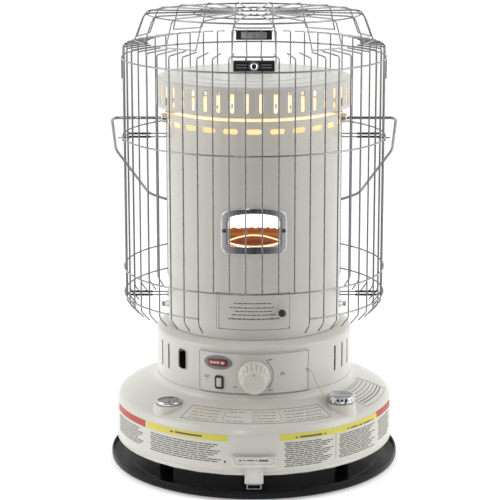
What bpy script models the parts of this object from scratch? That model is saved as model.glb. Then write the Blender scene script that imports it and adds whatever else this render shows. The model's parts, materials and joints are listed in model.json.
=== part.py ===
"""Kerosene convection heater on a drip tray, inside a wire guard, with a bail handle.

Metres, +Z up. The origin is on the floor under the middle of the tray, and the front of the heater
faces -Y. Azimuths are in degrees round the Z axis, 0 at the front and positive towards +X.
"""
import math

import bmesh
import bpy
from mathutils import Matrix, Vector

# Clearance between pieces that touch, and the thickness of the pressed steel sheet.
GAP = 0.0004
SHEET = 0.0012
ROUND = 32
SMALL_ROUND = 16

# Drip tray and the stand that carries the tank over it.
TRAY_R = 0.2375
TRAY_RIM_TOP = 0.018
TRAY_FLOOR_R = 0.2190
TRAY_FLOOR_TOP = 0.0025
STAND_R = 0.185
STAND_AZIMUTHS = (50.0, 180.0, 310.0)

# Fuel tank: a pressed upper shell on a flat floor, with the air tube standing up its middle.
TANK_R = 0.2276
TANK_BOTTOM = 0.0390
TANK_WALL_TOP = 0.0990
TANK_TOP = 0.1510
AIR_TUBE_R = 0.0470
AIR_TUBE_TOP = 0.2620

# Wick burner.
WICK_R = 0.0515
WICK_TOP = 0.2660
WICK_TRAVEL = 0.020
GUIDE_R = 0.0560
GUIDE_TOP = 0.2560
TOOTH_MODULE = 0.0015
PINION_TEETH = 12
PINION_R = TOOTH_MODULE * PINION_TEETH / 2
KNOB_Z = 0.1830
KNOB_BACK_Y = -0.1640
SHAFT_R = 0.0029
SHAFT_HOLE_R = 0.0045
RACK_BACK_X = -0.0142
RACK_Y = -0.0595
FLAME_OUTER_R = 0.0672
FLAME_INNER_R = 0.0342
FLAME_TOP = 0.5200

# Burner housing under the drum, and its control panel.
HOUSING_R = 0.1600
HOUSING_TOP = 0.2343
PANEL_AZIMUTH = 32.5
PANEL_R = 0.1607
PANEL_OUT = 0.1622
PANEL_Z = (0.1520, 0.2196)
HOUSING_SLOT_AZIMUTHS = (54.5, 63.0, 71.5, -59.3, -68.3)
HOUSING_SLOT_SIZE = (0.0046, 0.0430)
HOUSING_SLOT_Z = 0.1925
HOUSING_HOLE_AZIMUTH = -45.6
HOUSING_HOLE_SIZE = (0.0180, 0.0330, 0.0060)
HOUSING_HOLE_Z = 0.1965
BUTTON_AZIMUTH = -19.7
BUTTON_Z = 0.1700
BUTTON_SIZE = (0.0084, 0.0144, 0.0015)
BUTTON_HOLE = (0.0096, 0.0156, 0.0020)
BADGE_AZIMUTH = -20.6
BADGE_Z = 0.2020
BADGE_HALF_SIZE = (0.0235, 0.0115)

# Pendulum of the tip-over switch.
PENDULUM_R = 0.1180
PENDULUM_AZIMUTH = 150.0
POST_HEIGHT = 0.0600

# Heat drum, hood, window and lighting door.
DRUM_R = 0.1410
DRUM_Z = (0.2347, 0.5835)
DRUM_SLOTS = 24
DRUM_SLOT_Z = 0.5675
DRUM_SLOT_SIZE = (0.0236, 0.0083)
HOOD_R = 0.1575
HOOD_Z = (0.5925, 0.6388)
HOOD_SLOTS = 44
HOOD_SLOT_Z = 0.6143
HOOD_SLOT_SIZE = (0.0062, 0.0322)
BRACKET_Z = (0.5750, 0.5900)
BRACKET_TAB_AZIMUTHS = (62, 118, 242, 298)
WINDOW_Z = 0.4110
WINDOW_AZIMUTH = 17.6
WINDOW_HOLE_Z = (0.3820, 0.4410)
FRAME_AZIMUTH = 20.9
FRAME_Z = (0.3738, 0.4482)
DOOR_AZIMUTHS = (-23.25, 23.3)
DOOR_Z = (0.2520, 0.3100)
HINGE_AZIMUTH = -23.9
HINGE_R = 0.1404
DOOR_KNOB_AZIMUTH = 17.2
DOOR_KNOB_Z = 0.2797

# Wire guard.
GUARD_R = 0.2098
GUARD_WIRES = 52
WIRE = 0.0024
GUARD_RINGS = (0.2837, 0.3267, 0.5413, 0.6680)
GUARD_BOTTOM = 0.2735
GUARD_TOP = 0.6875
DOOR_GAP_AZIMUTH = 24.0
TOP_GUARD_Z = 0.7394
TOP_RING_R = 0.1700
MID_RING_R = 0.0960
HUB_RING_R = 0.0380
PETALS = 10
CLIP_Z = (0.6708, 0.6870)
CLIP_HALF_WIDTH = 0.031
CLIP_INNER_Y = 0.2118
CLIP_OUTER_Y = 0.2206
SUPPORT_LEVELS = ((0.5402, "upper"), (0.2770, "lower"))
SUPPORT_END_X = 0.2055

# Bail handle, hanging back from its pivots on the sides of the drum.
BAIL_PIVOT_Z = 0.5684
BAIL_REST_ANGLE = 50.0
BAIL_WIRE_R = 0.0025
BAIL_HALF_WIDTH = 0.2295
BAIL_LENGTH = 0.282

# Fuel gauge and filler, on the crown of the tank.
GAUGE_XY = (-0.135, -0.141)
GAUGE_R = 0.0200
GAUGE_TOP = 0.1372
DIAL_R = 0.0176
NEEDLE_R = 0.0018
FILLER_XY = (0.139, -0.141)
CAP_R = 0.0230
CAP_Z = (0.1368, 0.1462)
NECK_R = 0.0182

# Igniter lever under the front of the tank.
LEVER_PIVOT = (0.0, -0.120, 0.0290)
LEVER_FRONT_Y = -0.2360
PADDLE_HALF_WIDTH = 0.0360
PADDLE_Z = (0.0560, 0.0725)
STEM_HALF_WIDTH = 0.0145
STEM_Y = (-0.2310, -0.2288)
IGNITION_ROD_R = 0.0025

# Battery case on the back of the burner housing.
CASE_HALF_LENGTH = 0.0665
CASE_Y = (0.1640, 0.2010)
CASE_Z = (0.1530, 0.1920)
CASE_WALL = 0.0015
CELL_R = 0.0163
CELL_LENGTH = 0.0615


def clear_scene():
    for item in list(bpy.data.objects):
        bpy.data.objects.remove(item, do_unlink=True)


def material(name, colour, roughness, metallic=0.0):
    """A plain Principled material."""
    made = bpy.data.materials.new(name)
    made.use_nodes = True
    shader = made.node_tree.nodes["Principled BSDF"]
    shader.inputs["Base Color"].default_value = (*colour, 1.0)
    shader.inputs["Roughness"].default_value = roughness
    shader.inputs["Metallic"].default_value = metallic
    return made


def polar(radius, azimuth, z=0.0):
    """The point at a radius and an azimuth in degrees, 0 at the front."""
    angle = math.radians(azimuth)
    return Vector((radius * math.sin(angle), -radius * math.cos(angle), z))


def facing(azimuth, radius=0.0, z=0.0):
    """A frame on the heater's side: local X along the wall, local Y inwards, local Z up."""
    return Matrix.Translation(polar(radius, azimuth, z)) @ Matrix.Rotation(math.radians(azimuth), 4, "Z")


def add_object(name, shape, finish, place=None, parent=None):
    """Turn a bmesh into an object whose origin is at place, a world matrix."""
    bmesh.ops.recalc_face_normals(shape, faces=shape.faces)
    mesh = bpy.data.meshes.new(name)
    shape.to_mesh(mesh)
    shape.free()
    mesh.shade_smooth()
    mesh.set_sharp_from_angle(angle=math.radians(35))
    mesh.materials.append(finish)
    made = bpy.data.objects.new(name, mesh)
    bpy.context.scene.collection.objects.link(made)
    if parent is not None:
        made.parent = parent
        made.matrix_parent_inverse = parent.matrix_world.inverted()
    made.matrix_world = place if place is not None else Matrix.Identity(4)
    bpy.context.view_layer.update()
    return made


def add_pivot(name, point):
    """An empty on a joint's axis."""
    pivot = bpy.data.objects.new(name, None)
    pivot.location = point
    pivot.empty_display_size = 0.02
    bpy.context.scene.collection.objects.link(pivot)
    bpy.context.view_layer.update()
    return pivot


def turned(outline, segments=ROUND):
    """Revolve a closed outline of (radius, z) points about Z."""
    shape = bmesh.new()
    rings = []
    for radius, z in outline:
        if radius < 1e-6:
            rings.append([shape.verts.new((0, 0, z))] * segments)
            continue
        rings.append([shape.verts.new(polar(radius, 360 * i / segments, z)) for i in range(segments)])
    for index, ring in enumerate(rings):
        other = rings[(index + 1) % len(rings)]
        for i in range(segments):
            j = (i + 1) % segments
            corners = list(dict.fromkeys((ring[i], ring[j], other[j], other[i])))
            if len(corners) > 2:
                shape.faces.new(corners)
    return shape


def sheet_outline(path, thickness=SHEET):
    """The outline of a sheet whose outer face runs along path, with its metal on the path's left."""
    points = [Vector(point) for point in path]
    inner = []
    for index, point in enumerate(points):
        before = points[max(index - 1, 0)]
        after = points[min(index + 1, len(points) - 1)]
        back = (point - before).normalized() if index else (after - point).normalized()
        ahead = (after - point).normalized() if index < len(points) - 1 else back
        normal = Vector((-(back + ahead).y, (back + ahead).x)).normalized()
        across = normal.dot(Vector((-back.y, back.x)))
        inner.append(point + normal * thickness / max(across, 0.5))
    return [tuple(point) for point in points + inner[::-1]]


def arc_solid(outline, start, end, steps):
    """Sweep a closed outline of (radius, z) points round Z from one azimuth to another."""
    shape = bmesh.new()
    count = len(outline)
    sections = []
    for step in range(steps + 1):
        azimuth = start + (end - start) * step / steps
        sections.append([shape.verts.new(polar(radius, azimuth, z)) for radius, z in outline])
    for near, far in zip(sections, sections[1:]):
        for i in range(count):
            j = (i + 1) % count
            shape.faces.new((near[i], near[j], far[j], far[i]))
    shape.faces.new(sections[0])
    shape.faces.new(sections[-1][::-1])
    return shape


def arc_plate(inner, outer, start, end, low, high, steps):
    """A curved plate on the heater's side."""
    return arc_solid([(inner, low), (outer, low), (outer, high), (inner, high)], start, end, steps)


def prism(outline, depth, place):
    """Extrude a closed outline of (x, z) points by depth either way along local Y, then place it."""
    shape = bmesh.new()
    front = [shape.verts.new(place @ Vector((x, -depth, z))) for x, z in outline]
    back = [shape.verts.new(place @ Vector((x, depth, z))) for x, z in outline]
    shape.faces.new(front)
    shape.faces.new(back[::-1])
    for i in range(len(outline)):
        j = (i + 1) % len(outline)
        shape.faces.new((front[j], front[i], back[i], back[j]))
    return shape


def block(low, high):
    """A box between two corners."""
    outline = [(low[0], low[2]), (high[0], low[2]), (high[0], high[2]), (low[0], high[2])]
    middle = (low[1] + high[1]) / 2
    return prism(outline, (high[1] - low[1]) / 2, Matrix.Translation((0, middle, 0)))


def rounded_box(width, height, radius, steps=2):
    """The outline of a rectangle with rounded corners, centred on the origin."""
    outline = []
    for corner, (side_x, side_z) in enumerate(((1, 1), (-1, 1), (-1, -1), (1, -1))):
        centre = ((width / 2 - radius) * side_x, (height / 2 - radius) * side_z)
        for step in range(steps + 1):
            angle = math.radians(90 * (corner + step / steps))
            outline.append((centre[0] + radius * math.cos(angle), centre[1] + radius * math.sin(angle)))
    unique = []
    for point in outline:
        if not unique or math.dist(point, unique[-1]) > 1e-5:
            unique.append(point)
    if math.dist(unique[0], unique[-1]) < 1e-5:
        unique.pop()
    return unique


def slot_outline(width, height):
    """The outline of a long slot, with its rounded ends as points."""
    if width > height:
        half, nose = width / 2, height * 0.35
        return [(half, 0), (half - nose, height / 2), (nose - half, height / 2), (-half, 0),
                (nose - half, -height / 2), (half - nose, -height / 2)]
    return [(-z, x) for x, z in slot_outline(height, width)]


def ellipse(half_width, half_height, steps=20):
    return [
        (half_width * math.cos(2 * math.pi * i / steps), half_height * math.sin(2 * math.pi * i / steps))
        for i in range(steps)
    ]


def joined(*shapes):
    """Put several meshes into one, as separate bodies."""
    total = bmesh.new()
    for shape in shapes:
        mesh = bpy.data.meshes.new("scratch")
        shape.to_mesh(mesh)
        shape.free()
        total.from_mesh(mesh)
        bpy.data.meshes.remove(mesh)
    return total


def boolean(target, operation, name, shape):
    """Cut, join or trim target with a hidden helper object."""
    helper = add_object(name, shape, target.data.materials[0])
    helper.hide_render = True
    helper.display_type = "WIRE"
    change = target.modifiers.new(name, "BOOLEAN")
    change.operation = operation
    change.solver = "EXACT"
    change.object = helper
    return helper


def cut(target, name, shape):
    return boolean(target, "DIFFERENCE", name, shape)


def rod(start, end, radius, sides=12):
    """A straight round bar between two points."""
    start, end = Vector(start), Vector(end)
    along = (end - start).normalized()
    turn = Vector((0, 0, 1)).rotation_difference(along).to_matrix().to_4x4()
    shape = turned([(0, 0), (radius, 0), (radius, (end - start).length), (0, (end - start).length)], sides)
    bmesh.ops.transform(shape, matrix=Matrix.Translation(start) @ turn, verts=shape.verts)
    return shape


def rounded_path(corners, radius, steps=4):
    """The corners of a wire's route, each replaced by an arc."""
    points = [Vector(corners[0])]
    for before, corner, after in zip(corners, corners[1:], corners[2:]):
        corner = Vector(corner)
        back = (Vector(before) - corner)
        ahead = (Vector(after) - corner)
        half = (math.pi - back.angle(ahead)) / 2
        reach = min(radius * math.tan(half), back.length * 0.45, ahead.length * 0.45)
        start = corner + back.normalized() * reach
        end = corner + ahead.normalized() * reach
        for step in range(steps + 1):
            t = step / steps
            points.append(start * (1 - t) ** 2 + corner * 2 * t * (1 - t) + end * t ** 2)
    points.append(Vector(corners[-1]))
    return points


def add_wire(name, points, radius, finish, resolution=1, origin=None):
    """A round wire along points: a curve with a bevel and filled ends, its origin at a point."""
    origin = Vector(origin) if origin is not None else Vector((0, 0, 0))
    curve = bpy.data.curves.new(name, "CURVE")
    curve.dimensions = "3D"
    curve.bevel_depth = radius
    curve.bevel_resolution = resolution
    curve.use_fill_caps = True
    spline = curve.splines.new("POLY")
    spline.points.add(len(points) - 1)
    for slot, point in zip(spline.points, points):
        slot.co = (*(Vector(point) - origin), 1.0)
    curve.materials.append(finish)
    made = bpy.data.objects.new(name, curve)
    made.location = origin
    bpy.context.scene.collection.objects.link(made)
    return made


def make_finishes():
    return {
        "enamel": material("ivory_enamel", (0.72, 0.70, 0.63), 0.35),
        "tray": material("black_enamel", (0.02, 0.02, 0.02), 0.35),
        "chrome": material("chrome", (0.75, 0.75, 0.74), 0.15, 1.0),
        "wire": material("plated_wire", (0.55, 0.55, 0.55), 0.30, 1.0),
        "steel": material("bare_steel", (0.50, 0.49, 0.47), 0.40, 1.0),
        "hot": material("heat_stained_steel", (0.45, 0.30, 0.20), 0.50, 1.0),
        "brass": material("brass", (0.70, 0.52, 0.25), 0.35, 1.0),
        "black": material("black_plastic", (0.02, 0.02, 0.02), 0.45),
        "white": material("white_plastic", (0.80, 0.79, 0.74), 0.40),
        "glass": material("clear_pane", (0.90, 0.90, 0.88), 0.05),
        "wick": material("glass_fibre", (0.80, 0.78, 0.70), 0.95),
        "badge": material("grey_badge", (0.30, 0.31, 0.33), 0.40),
        "cell": material("battery_jacket", (0.10, 0.12, 0.30), 0.40),
    }


def make_tray(finish):
    outline = [
        (0, 0), (TRAY_FLOOR_R, 0), (TRAY_R, 0.006), (TRAY_R, 0.015), (0.2362, TRAY_RIM_TOP),
        (0.2340, 0.0165), (0.2340, 0.009), (TRAY_FLOOR_R - 0.002, TRAY_FLOOR_TOP), (0, TRAY_FLOOR_TOP),
    ]
    add_object("drip_tray", turned(outline), finish["tray"])
    low = TRAY_FLOOR_TOP + GAP
    high = TANK_BOTTOM - GAP
    ring = turned([(STAND_R - 0.012, high - 0.002), (STAND_R + 0.012, high - 0.002),
                   (STAND_R + 0.012, high), (STAND_R - 0.012, high)])
    legs = []
    for azimuth in STAND_AZIMUTHS:
        legs.append(rod(polar(STAND_R, azimuth, low), polar(STAND_R, azimuth, high - 0.001), 0.011))
    stand = add_object("tank_stand", ring, finish["tray"])
    boolean(stand, "UNION", "tank_stand_legs", joined(*legs))
    return stand


def make_tank(finish):
    path = [
        (0.0700, TANK_TOP), (0.1600, TANK_TOP), (0.1625, 0.1440), (0.1680, 0.1385), (0.1780, 0.1345),
        (0.1980, 0.1280), (0.2195, 0.1180), (0.2262, 0.1080), (TANK_R, TANK_WALL_TOP), (TANK_R, 0.0440),
        (0.2262, TANK_BOTTOM + 0.0020),
    ]
    tank = add_object("fuel_tank", turned(sheet_outline(path[::-1])), finish["enamel"])
    gauge_hole = rod((*GAUGE_XY, 0.100), (*GAUGE_XY, 0.160), GAUGE_R + GAP, SMALL_ROUND)
    filler_hole = rod((*FILLER_XY, 0.100), (*FILLER_XY, 0.160), NECK_R + 0.0006, SMALL_ROUND)
    cut(tank, "tank_holes", joined(gauge_hole, filler_hole))
    floor = [
        (AIR_TUBE_R + GAP, TANK_BOTTOM), (TANK_R - 0.004, TANK_BOTTOM),
        (TANK_R - 0.004, TANK_BOTTOM + SHEET), (AIR_TUBE_R + GAP, TANK_BOTTOM + SHEET),
    ]
    add_object("tank_floor", turned(floor), finish["steel"])
    tube = [
        (AIR_TUBE_R - SHEET, TANK_BOTTOM), (AIR_TUBE_R, TANK_BOTTOM), (AIR_TUBE_R, AIR_TUBE_TOP),
        (AIR_TUBE_R - SHEET, AIR_TUBE_TOP),
    ]
    add_object("air_tube", turned(tube), finish["steel"])


def make_wick_parts(finish):
    """The wick in its carrier, the rack on the carrier, and the guide tube round them."""
    foot = TANK_TOP + GAP
    guide_path = [(0.0690, foot), (0.0690, foot + SHEET), (GUIDE_R, foot + SHEET), (GUIDE_R, GUIDE_TOP)]
    guide_outline = guide_path + [
        (GUIDE_R - SHEET, GUIDE_TOP), (GUIDE_R - SHEET, 0.0600), (GUIDE_R, 0.0600), (GUIDE_R, foot),
    ]
    guide = add_object("wick_guide", turned(guide_outline, SMALL_ROUND), finish["brass"])
    cut(guide, "rack_slot", block((-0.0165, -0.0620, 0.1542), (-0.0075, -0.0450, 0.2150)))

    lift = add_pivot("wick_lift", (0, 0, 0))
    wick = [(0.0482, 0.150), (WICK_R, 0.150), (WICK_R, WICK_TOP), (0.0482, WICK_TOP)]
    add_object("wick", turned(wick, SMALL_ROUND), finish["wick"], parent=lift)
    carrier = [(WICK_R + GAP, 0.152), (0.0536, 0.152), (0.0536, 0.210), (WICK_R + GAP, 0.210)]
    add_object("wick_carrier", turned(carrier, SMALL_ROUND), finish["brass"], parent=lift)

    pitch = math.pi * TOOTH_MODULE
    root_x = -PINION_R - 1.25 * TOOTH_MODULE
    tip_x = -PINION_R + 0.9 * TOOTH_MODULE
    low = KNOB_Z - 1.5 * pitch
    teeth = 8
    outline = [(RACK_BACK_X, low)]
    for tooth in range(teeth):
        z = low + tooth * pitch
        outline += [(root_x, z + 0.02 * pitch), (root_x, z + 0.26 * pitch), (tip_x, z + 0.40 * pitch),
                    (tip_x, z + 0.60 * pitch), (root_x, z + 0.74 * pitch)]
    outline.append((RACK_BACK_X, low + teeth * pitch))
    rack = prism(outline, 0.0062, Matrix.Translation((0, RACK_Y, 0)))
    add_object("wick_rack", rack, finish["brass"], parent=lift)


def make_knob(finish):
    """Wick knob, with its shaft and pinion turning on the Y axis."""
    pivot = add_pivot("knob_axis", (0, KNOB_BACK_Y, KNOB_Z))
    inward = Matrix.Translation((0, 0, KNOB_Z)) @ Matrix.Rotation(math.radians(-90), 4, "X")
    outline = [
        (0.0033, KNOB_BACK_Y), (0.0245, KNOB_BACK_Y), (0.0252, KNOB_BACK_Y - 0.002),
        (0.0248, -0.1705), (0.0215, -0.1730), (0.0195, -0.2000), (0.0180, -0.2040), (0, -0.2045),
        (0, -0.1885), (0.0033, -0.1885),
    ]
    knob = turned([(radius, y) for radius, y in outline], 24)
    bmesh.ops.transform(knob, matrix=inward, verts=knob.verts)
    add_object("wick_knob", knob, finish["white"], parent=pivot)

    bar = rod((0, -0.188, KNOB_Z), (0, -0.0605, KNOB_Z), SHAFT_R)
    shaft = add_object("knob_shaft", bar, finish["steel"], parent=pivot)
    outline = []
    for tooth in range(PINION_TEETH):
        for part, radius in ((-0.26, -1.2), (-0.10, 0.9), (0.10, 0.9), (0.26, -1.2)):
            angle = 2 * math.pi * (tooth + part + 0.5) / PINION_TEETH
            reach = PINION_R + radius * TOOTH_MODULE
            outline.append((reach * math.cos(angle), KNOB_Z + reach * math.sin(angle)))
    gear = prism(outline, 0.0030, Matrix.Translation((0, -0.0640, 0)))
    boolean(shaft, "UNION", "pinion", gear)


def control_holes():
    """Cutters for the knob's shaft and the shut-off button, through the housing and the panel."""
    shaft_hole = rod((0, -0.175, KNOB_Z), (0, -0.150, KNOB_Z), SHAFT_HOLE_R)
    button_hole = prism(rounded_box(*BUTTON_HOLE), 0.012, facing(BUTTON_AZIMUTH, HOUSING_R, BUTTON_Z))
    return shaft_hole, button_hole


def make_housing(finish):
    path = [
        (HOUSING_R, TANK_TOP + GAP), (HOUSING_R, 0.2235), (0.1590, 0.2270), (0.1560, 0.2297),
        (0.1500, 0.2325), (0.1435, HOUSING_TOP), (0.1100, HOUSING_TOP),
    ]
    housing = add_object("burner_housing", turned(sheet_outline(path)), finish["enamel"])
    openings = [prism(slot_outline(*HOUSING_SLOT_SIZE), 0.012, facing(azimuth, HOUSING_R, HOUSING_SLOT_Z))
                for azimuth in HOUSING_SLOT_AZIMUTHS]
    hole_place = facing(HOUSING_HOLE_AZIMUTH, HOUSING_R, HOUSING_HOLE_Z)
    openings.append(prism(rounded_box(*HOUSING_HOLE_SIZE), 0.012, hole_place))
    cut(housing, "housing_openings", joined(*openings, *control_holes()))

    panel = add_object(
        "control_panel",
        arc_plate(PANEL_R, PANEL_OUT, -PANEL_AZIMUTH, PANEL_AZIMUTH, *PANEL_Z, 16), finish["enamel"])
    cut(panel, "panel_holes", joined(*control_holes()))

    badge = add_object(
        "badge_plate",
        arc_plate(PANEL_OUT + GAP, PANEL_OUT + 0.0014, BADGE_AZIMUTH - 10, BADGE_AZIMUTH + 10,
                  BADGE_Z - 0.02, BADGE_Z + 0.02, 8), finish["badge"])
    boolean(badge, "INTERSECT", "badge_outline",
            prism(ellipse(*BADGE_HALF_SIZE), 0.02, facing(BADGE_AZIMUTH, PANEL_OUT, BADGE_Z)))

    surround = add_object(
        "button_surround",
        arc_plate(PANEL_OUT + GAP, PANEL_OUT + 0.0022, BUTTON_AZIMUTH - 2.6, BUTTON_AZIMUTH + 2.6,
                  BUTTON_Z - 0.011, BUTTON_Z + 0.011, 2), finish["black"])
    cut(surround, "surround_hole",
        prism(rounded_box(*BUTTON_HOLE), 0.02, facing(BUTTON_AZIMUTH, PANEL_OUT, BUTTON_Z)))

    button_place = facing(BUTTON_AZIMUTH, 0.1580, BUTTON_Z)
    button = prism(rounded_box(*BUTTON_SIZE), 0.0080, Matrix.Identity(4))
    add_object("shutoff_button", button, finish["white"], place=button_place)


def make_tip_switch(finish):
    """Pendulum that trips the shut-off when the heater is knocked, on a post inside the housing."""
    foot = polar(PENDULUM_R, PENDULUM_AZIMUTH, TANK_TOP + GAP)
    post = add_object("pendulum_post", rod(foot, foot + Vector((0, 0, POST_HEIGHT)), 0.004), finish["steel"])
    arm_low = foot + Vector((-0.003, 0, POST_HEIGHT - 0.006))
    arm_high = foot + Vector((0.003, 0.024, POST_HEIGHT))
    boolean(post, "UNION", "post_arm", block(arm_low, arm_high))
    top = foot + Vector((0, 0.018, POST_HEIGHT - 0.007))
    stem = rod(top, top - Vector((0, 0, 0.040)), 0.0015)
    weight = add_object("pendulum", stem, finish["brass"])
    bob = rod(top - Vector((0, 0, 0.046)), top - Vector((0, 0, 0.030)), 0.0080)
    boolean(weight, "UNION", "pendulum_bob", bob)


def make_burner(finish):
    seat = [(GUIDE_R + 0.001, HOUSING_TOP + GAP), (0.1380, HOUSING_TOP + GAP),
            (0.1380, HOUSING_TOP + GAP + SHEET), (GUIDE_R + 0.001, HOUSING_TOP + GAP + SHEET)]
    add_object("burner_seat", turned(seat), finish["steel"])
    base = GUIDE_TOP + GAP
    outer = [(GUIDE_R - 0.002, base), (FLAME_OUTER_R, base), (FLAME_OUTER_R, FLAME_TOP),
             (FLAME_OUTER_R - SHEET, FLAME_TOP), (FLAME_OUTER_R - SHEET, base + SHEET),
             (GUIDE_R - 0.002, base + SHEET)]
    add_object("outer_flame_cylinder", turned(outer, 24), finish["hot"])
    base = AIR_TUBE_TOP + GAP
    inner = [
        (AIR_TUBE_R - SHEET, base), (AIR_TUBE_R, base), (AIR_TUBE_R, base + SHEET),
        (FLAME_INNER_R, 0.2750), (FLAME_INNER_R, FLAME_TOP + GAP), (FLAME_OUTER_R - 0.002, FLAME_TOP + GAP),
        (FLAME_OUTER_R - 0.002, FLAME_TOP + GAP + SHEET), (FLAME_INNER_R - SHEET, FLAME_TOP + GAP + SHEET),
        (FLAME_INNER_R - SHEET, 0.2742),
    ]
    add_object("inner_flame_cylinder", turned(inner, 16), finish["hot"])


def make_drum(finish):
    low, high = DRUM_Z
    inner = DRUM_R - SHEET
    drum = add_object(
        "heat_drum", turned([(inner, low), (DRUM_R, low), (DRUM_R, high), (inner, high)]), finish["enamel"])
    pitch = 360 / DRUM_SLOTS
    vents = []
    for slot in range(DRUM_SLOTS):
        azimuth = slot * pitch
        if slot % (DRUM_SLOTS // 4) or slot in (0, DRUM_SLOTS // 2):
            vents.append(prism(slot_outline(*DRUM_SLOT_SIZE), 0.008, facing(azimuth, DRUM_R, DRUM_SLOT_Z)))
    window = arc_plate(0.12, 0.16, -WINDOW_AZIMUTH, WINDOW_AZIMUTH, *WINDOW_HOLE_Z, 4)
    doorway = arc_plate(0.12, 0.16, HINGE_AZIMUTH - 1.1, DOOR_AZIMUTHS[1] + 0.4,
                        DOOR_Z[0] - 0.0007, DOOR_Z[1] + 0.0007, 8)
    cut(drum, "drum_openings", joined(window, doorway, *vents))

    frame = add_object(
        "window_frame",
        arc_plate(DRUM_R + GAP, DRUM_R + 0.0022, -FRAME_AZIMUTH, FRAME_AZIMUTH, *FRAME_Z, 14),
        finish["chrome"])
    arch = [(-0.054, -0.040), (0.054, -0.040), (0.054, 0.030), (0.030, 0.0362), (0, 0.0380),
            (-0.030, 0.0362), (-0.054, 0.030)]
    boolean(frame, "INTERSECT", "frame_arch", prism(arch, 0.05, facing(0, DRUM_R, WINDOW_Z)))
    cut(frame, "frame_opening", prism(rounded_box(0.081, 0.052, 0.008), 0.05, facing(0, DRUM_R, 0.4129)))
    add_object("window_pane", arc_plate(0.1374, 0.1384, -18.8, 18.8, 0.3765, 0.4465, 12), finish["glass"])
    for side, name in ((-1, "window_screw_left"), (1, "window_screw_right")):
        place = facing(18.9 * side, DRUM_R + 0.0026, WINDOW_Z) @ Matrix.Rotation(math.radians(90), 4, "X")
        head = turned([(0, 0), (0.0034, 0), (0.0030, 0.0012), (0.0016, 0.0019), (0, 0.0021)], 12)
        add_object(name, head, finish["steel"], place=place)


def make_hood(finish):
    path = [
        (HOOD_R, HOOD_Z[0]), (HOOD_R, 0.6330), (0.1560, 0.6368), (0.1520, HOOD_Z[1]), (0.1350, HOOD_Z[1]),
        (0.1330, 0.6402), (0.1000, 0.6402), (0.0980, 0.6416),
    ]
    outline = sheet_outline(path)
    half = len(outline) // 2
    top, under = outline[half - 1], outline[half]
    outline[half:half] = [(0, top[1]), (0, under[1])]
    hood = add_object("hood", turned(outline, 44), finish["enamel"])
    slots = []
    for slot in range(HOOD_SLOTS):
        azimuth = (slot + 0.5) * 360 / HOOD_SLOTS
        slots.append(prism(slot_outline(*HOOD_SLOT_SIZE), 0.008, facing(azimuth, HOOD_R, HOOD_SLOT_Z)))
    cut(hood, "hood_slots", joined(*slots))
    ring_r = DRUM_R - SHEET - 0.0009
    low, high = BRACKET_Z
    ring = turned([(ring_r - SHEET, low), (ring_r, low), (ring_r, high), (ring_r - SHEET, high)])
    holder = add_object("hood_bracket", ring, finish["steel"])
    tabs = []
    for azimuth in BRACKET_TAB_AZIMUTHS:
        tabs.append(arc_plate(ring_r - 0.0006, HOOD_R - 0.0022, azimuth - 3, azimuth + 3,
                              high - 0.0030, high - 0.0005, 1))
    boolean(holder, "UNION", "bracket_tabs", joined(*tabs))


def make_door(finish):
    """Lighting door on a vertical pin at its left edge, with its knob."""
    axis = polar(HINGE_R, HINGE_AZIMUTH)
    pivot = add_pivot("door_axis", (axis.x, axis.y, DOOR_Z[0]))
    door = add_object(
        "lighter_door", arc_plate(DRUM_R - SHEET, DRUM_R, *DOOR_AZIMUTHS, *DOOR_Z, 12), finish["enamel"],
        parent=pivot)
    barrel_low = Vector((axis.x, axis.y, DOOR_Z[0] + 0.008))
    barrel_high = Vector((axis.x, axis.y, DOOR_Z[1] - 0.008))
    lift = Vector((0, 0, 0.01))
    boolean(door, "UNION", "door_barrel", rod(barrel_low, barrel_high, 0.0021, 10))
    cut(door, "door_pin_hole", rod(barrel_low - lift, barrel_high + lift, 0.0012, 8))
    pin_low = Vector((axis.x, axis.y, DOOR_Z[0] - 0.0003))
    pin_high = Vector((axis.x, axis.y, DOOR_Z[1] + 0.0003))
    add_object("door_hinge_pin", rod(pin_low, pin_high, 0.0008, 8), finish["steel"])
    outline = [(0, 0), (0.0022, 0), (0.0022, 0.0035)]
    centre, ball = 0.0090, 0.0060
    for step in range(1, 6):
        angle = math.radians(-66 + 26 * step)
        outline.append((ball * math.cos(angle), centre + ball * math.sin(angle)))
    outline.append((0, centre + ball))
    place = facing(DOOR_KNOB_AZIMUTH, DRUM_R + GAP, DOOR_KNOB_Z) @ Matrix.Rotation(math.radians(90), 4, "X")
    add_object("door_knob", turned(outline, 12), finish["black"], place=place, parent=pivot)


def lattice(columns, rows, cells, closed):
    """A grid surface in which only the listed cells are filled.

    columns and rows place its corners through rows(column, row); cells(column, row) says which are filled.
    """
    shape = bmesh.new()
    corners = {}

    def corner(column, row):
        if (column, row) not in corners:
            corners[column, row] = shape.verts.new(rows(column, row))
        return corners[column, row]

    for column in range(columns if closed else columns - 1):
        after = (column + 1) % columns
        for row in cells(column):
            shape.faces.new((corner(column, row), corner(after, row),
                             corner(after, row + 1), corner(column, row + 1)))
    return shape


def thicken(made, thickness):
    plate = made.modifiers.new("Thickness", "SOLIDIFY")
    plate.thickness = thickness
    plate.offset = 0.0
    return made


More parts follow.
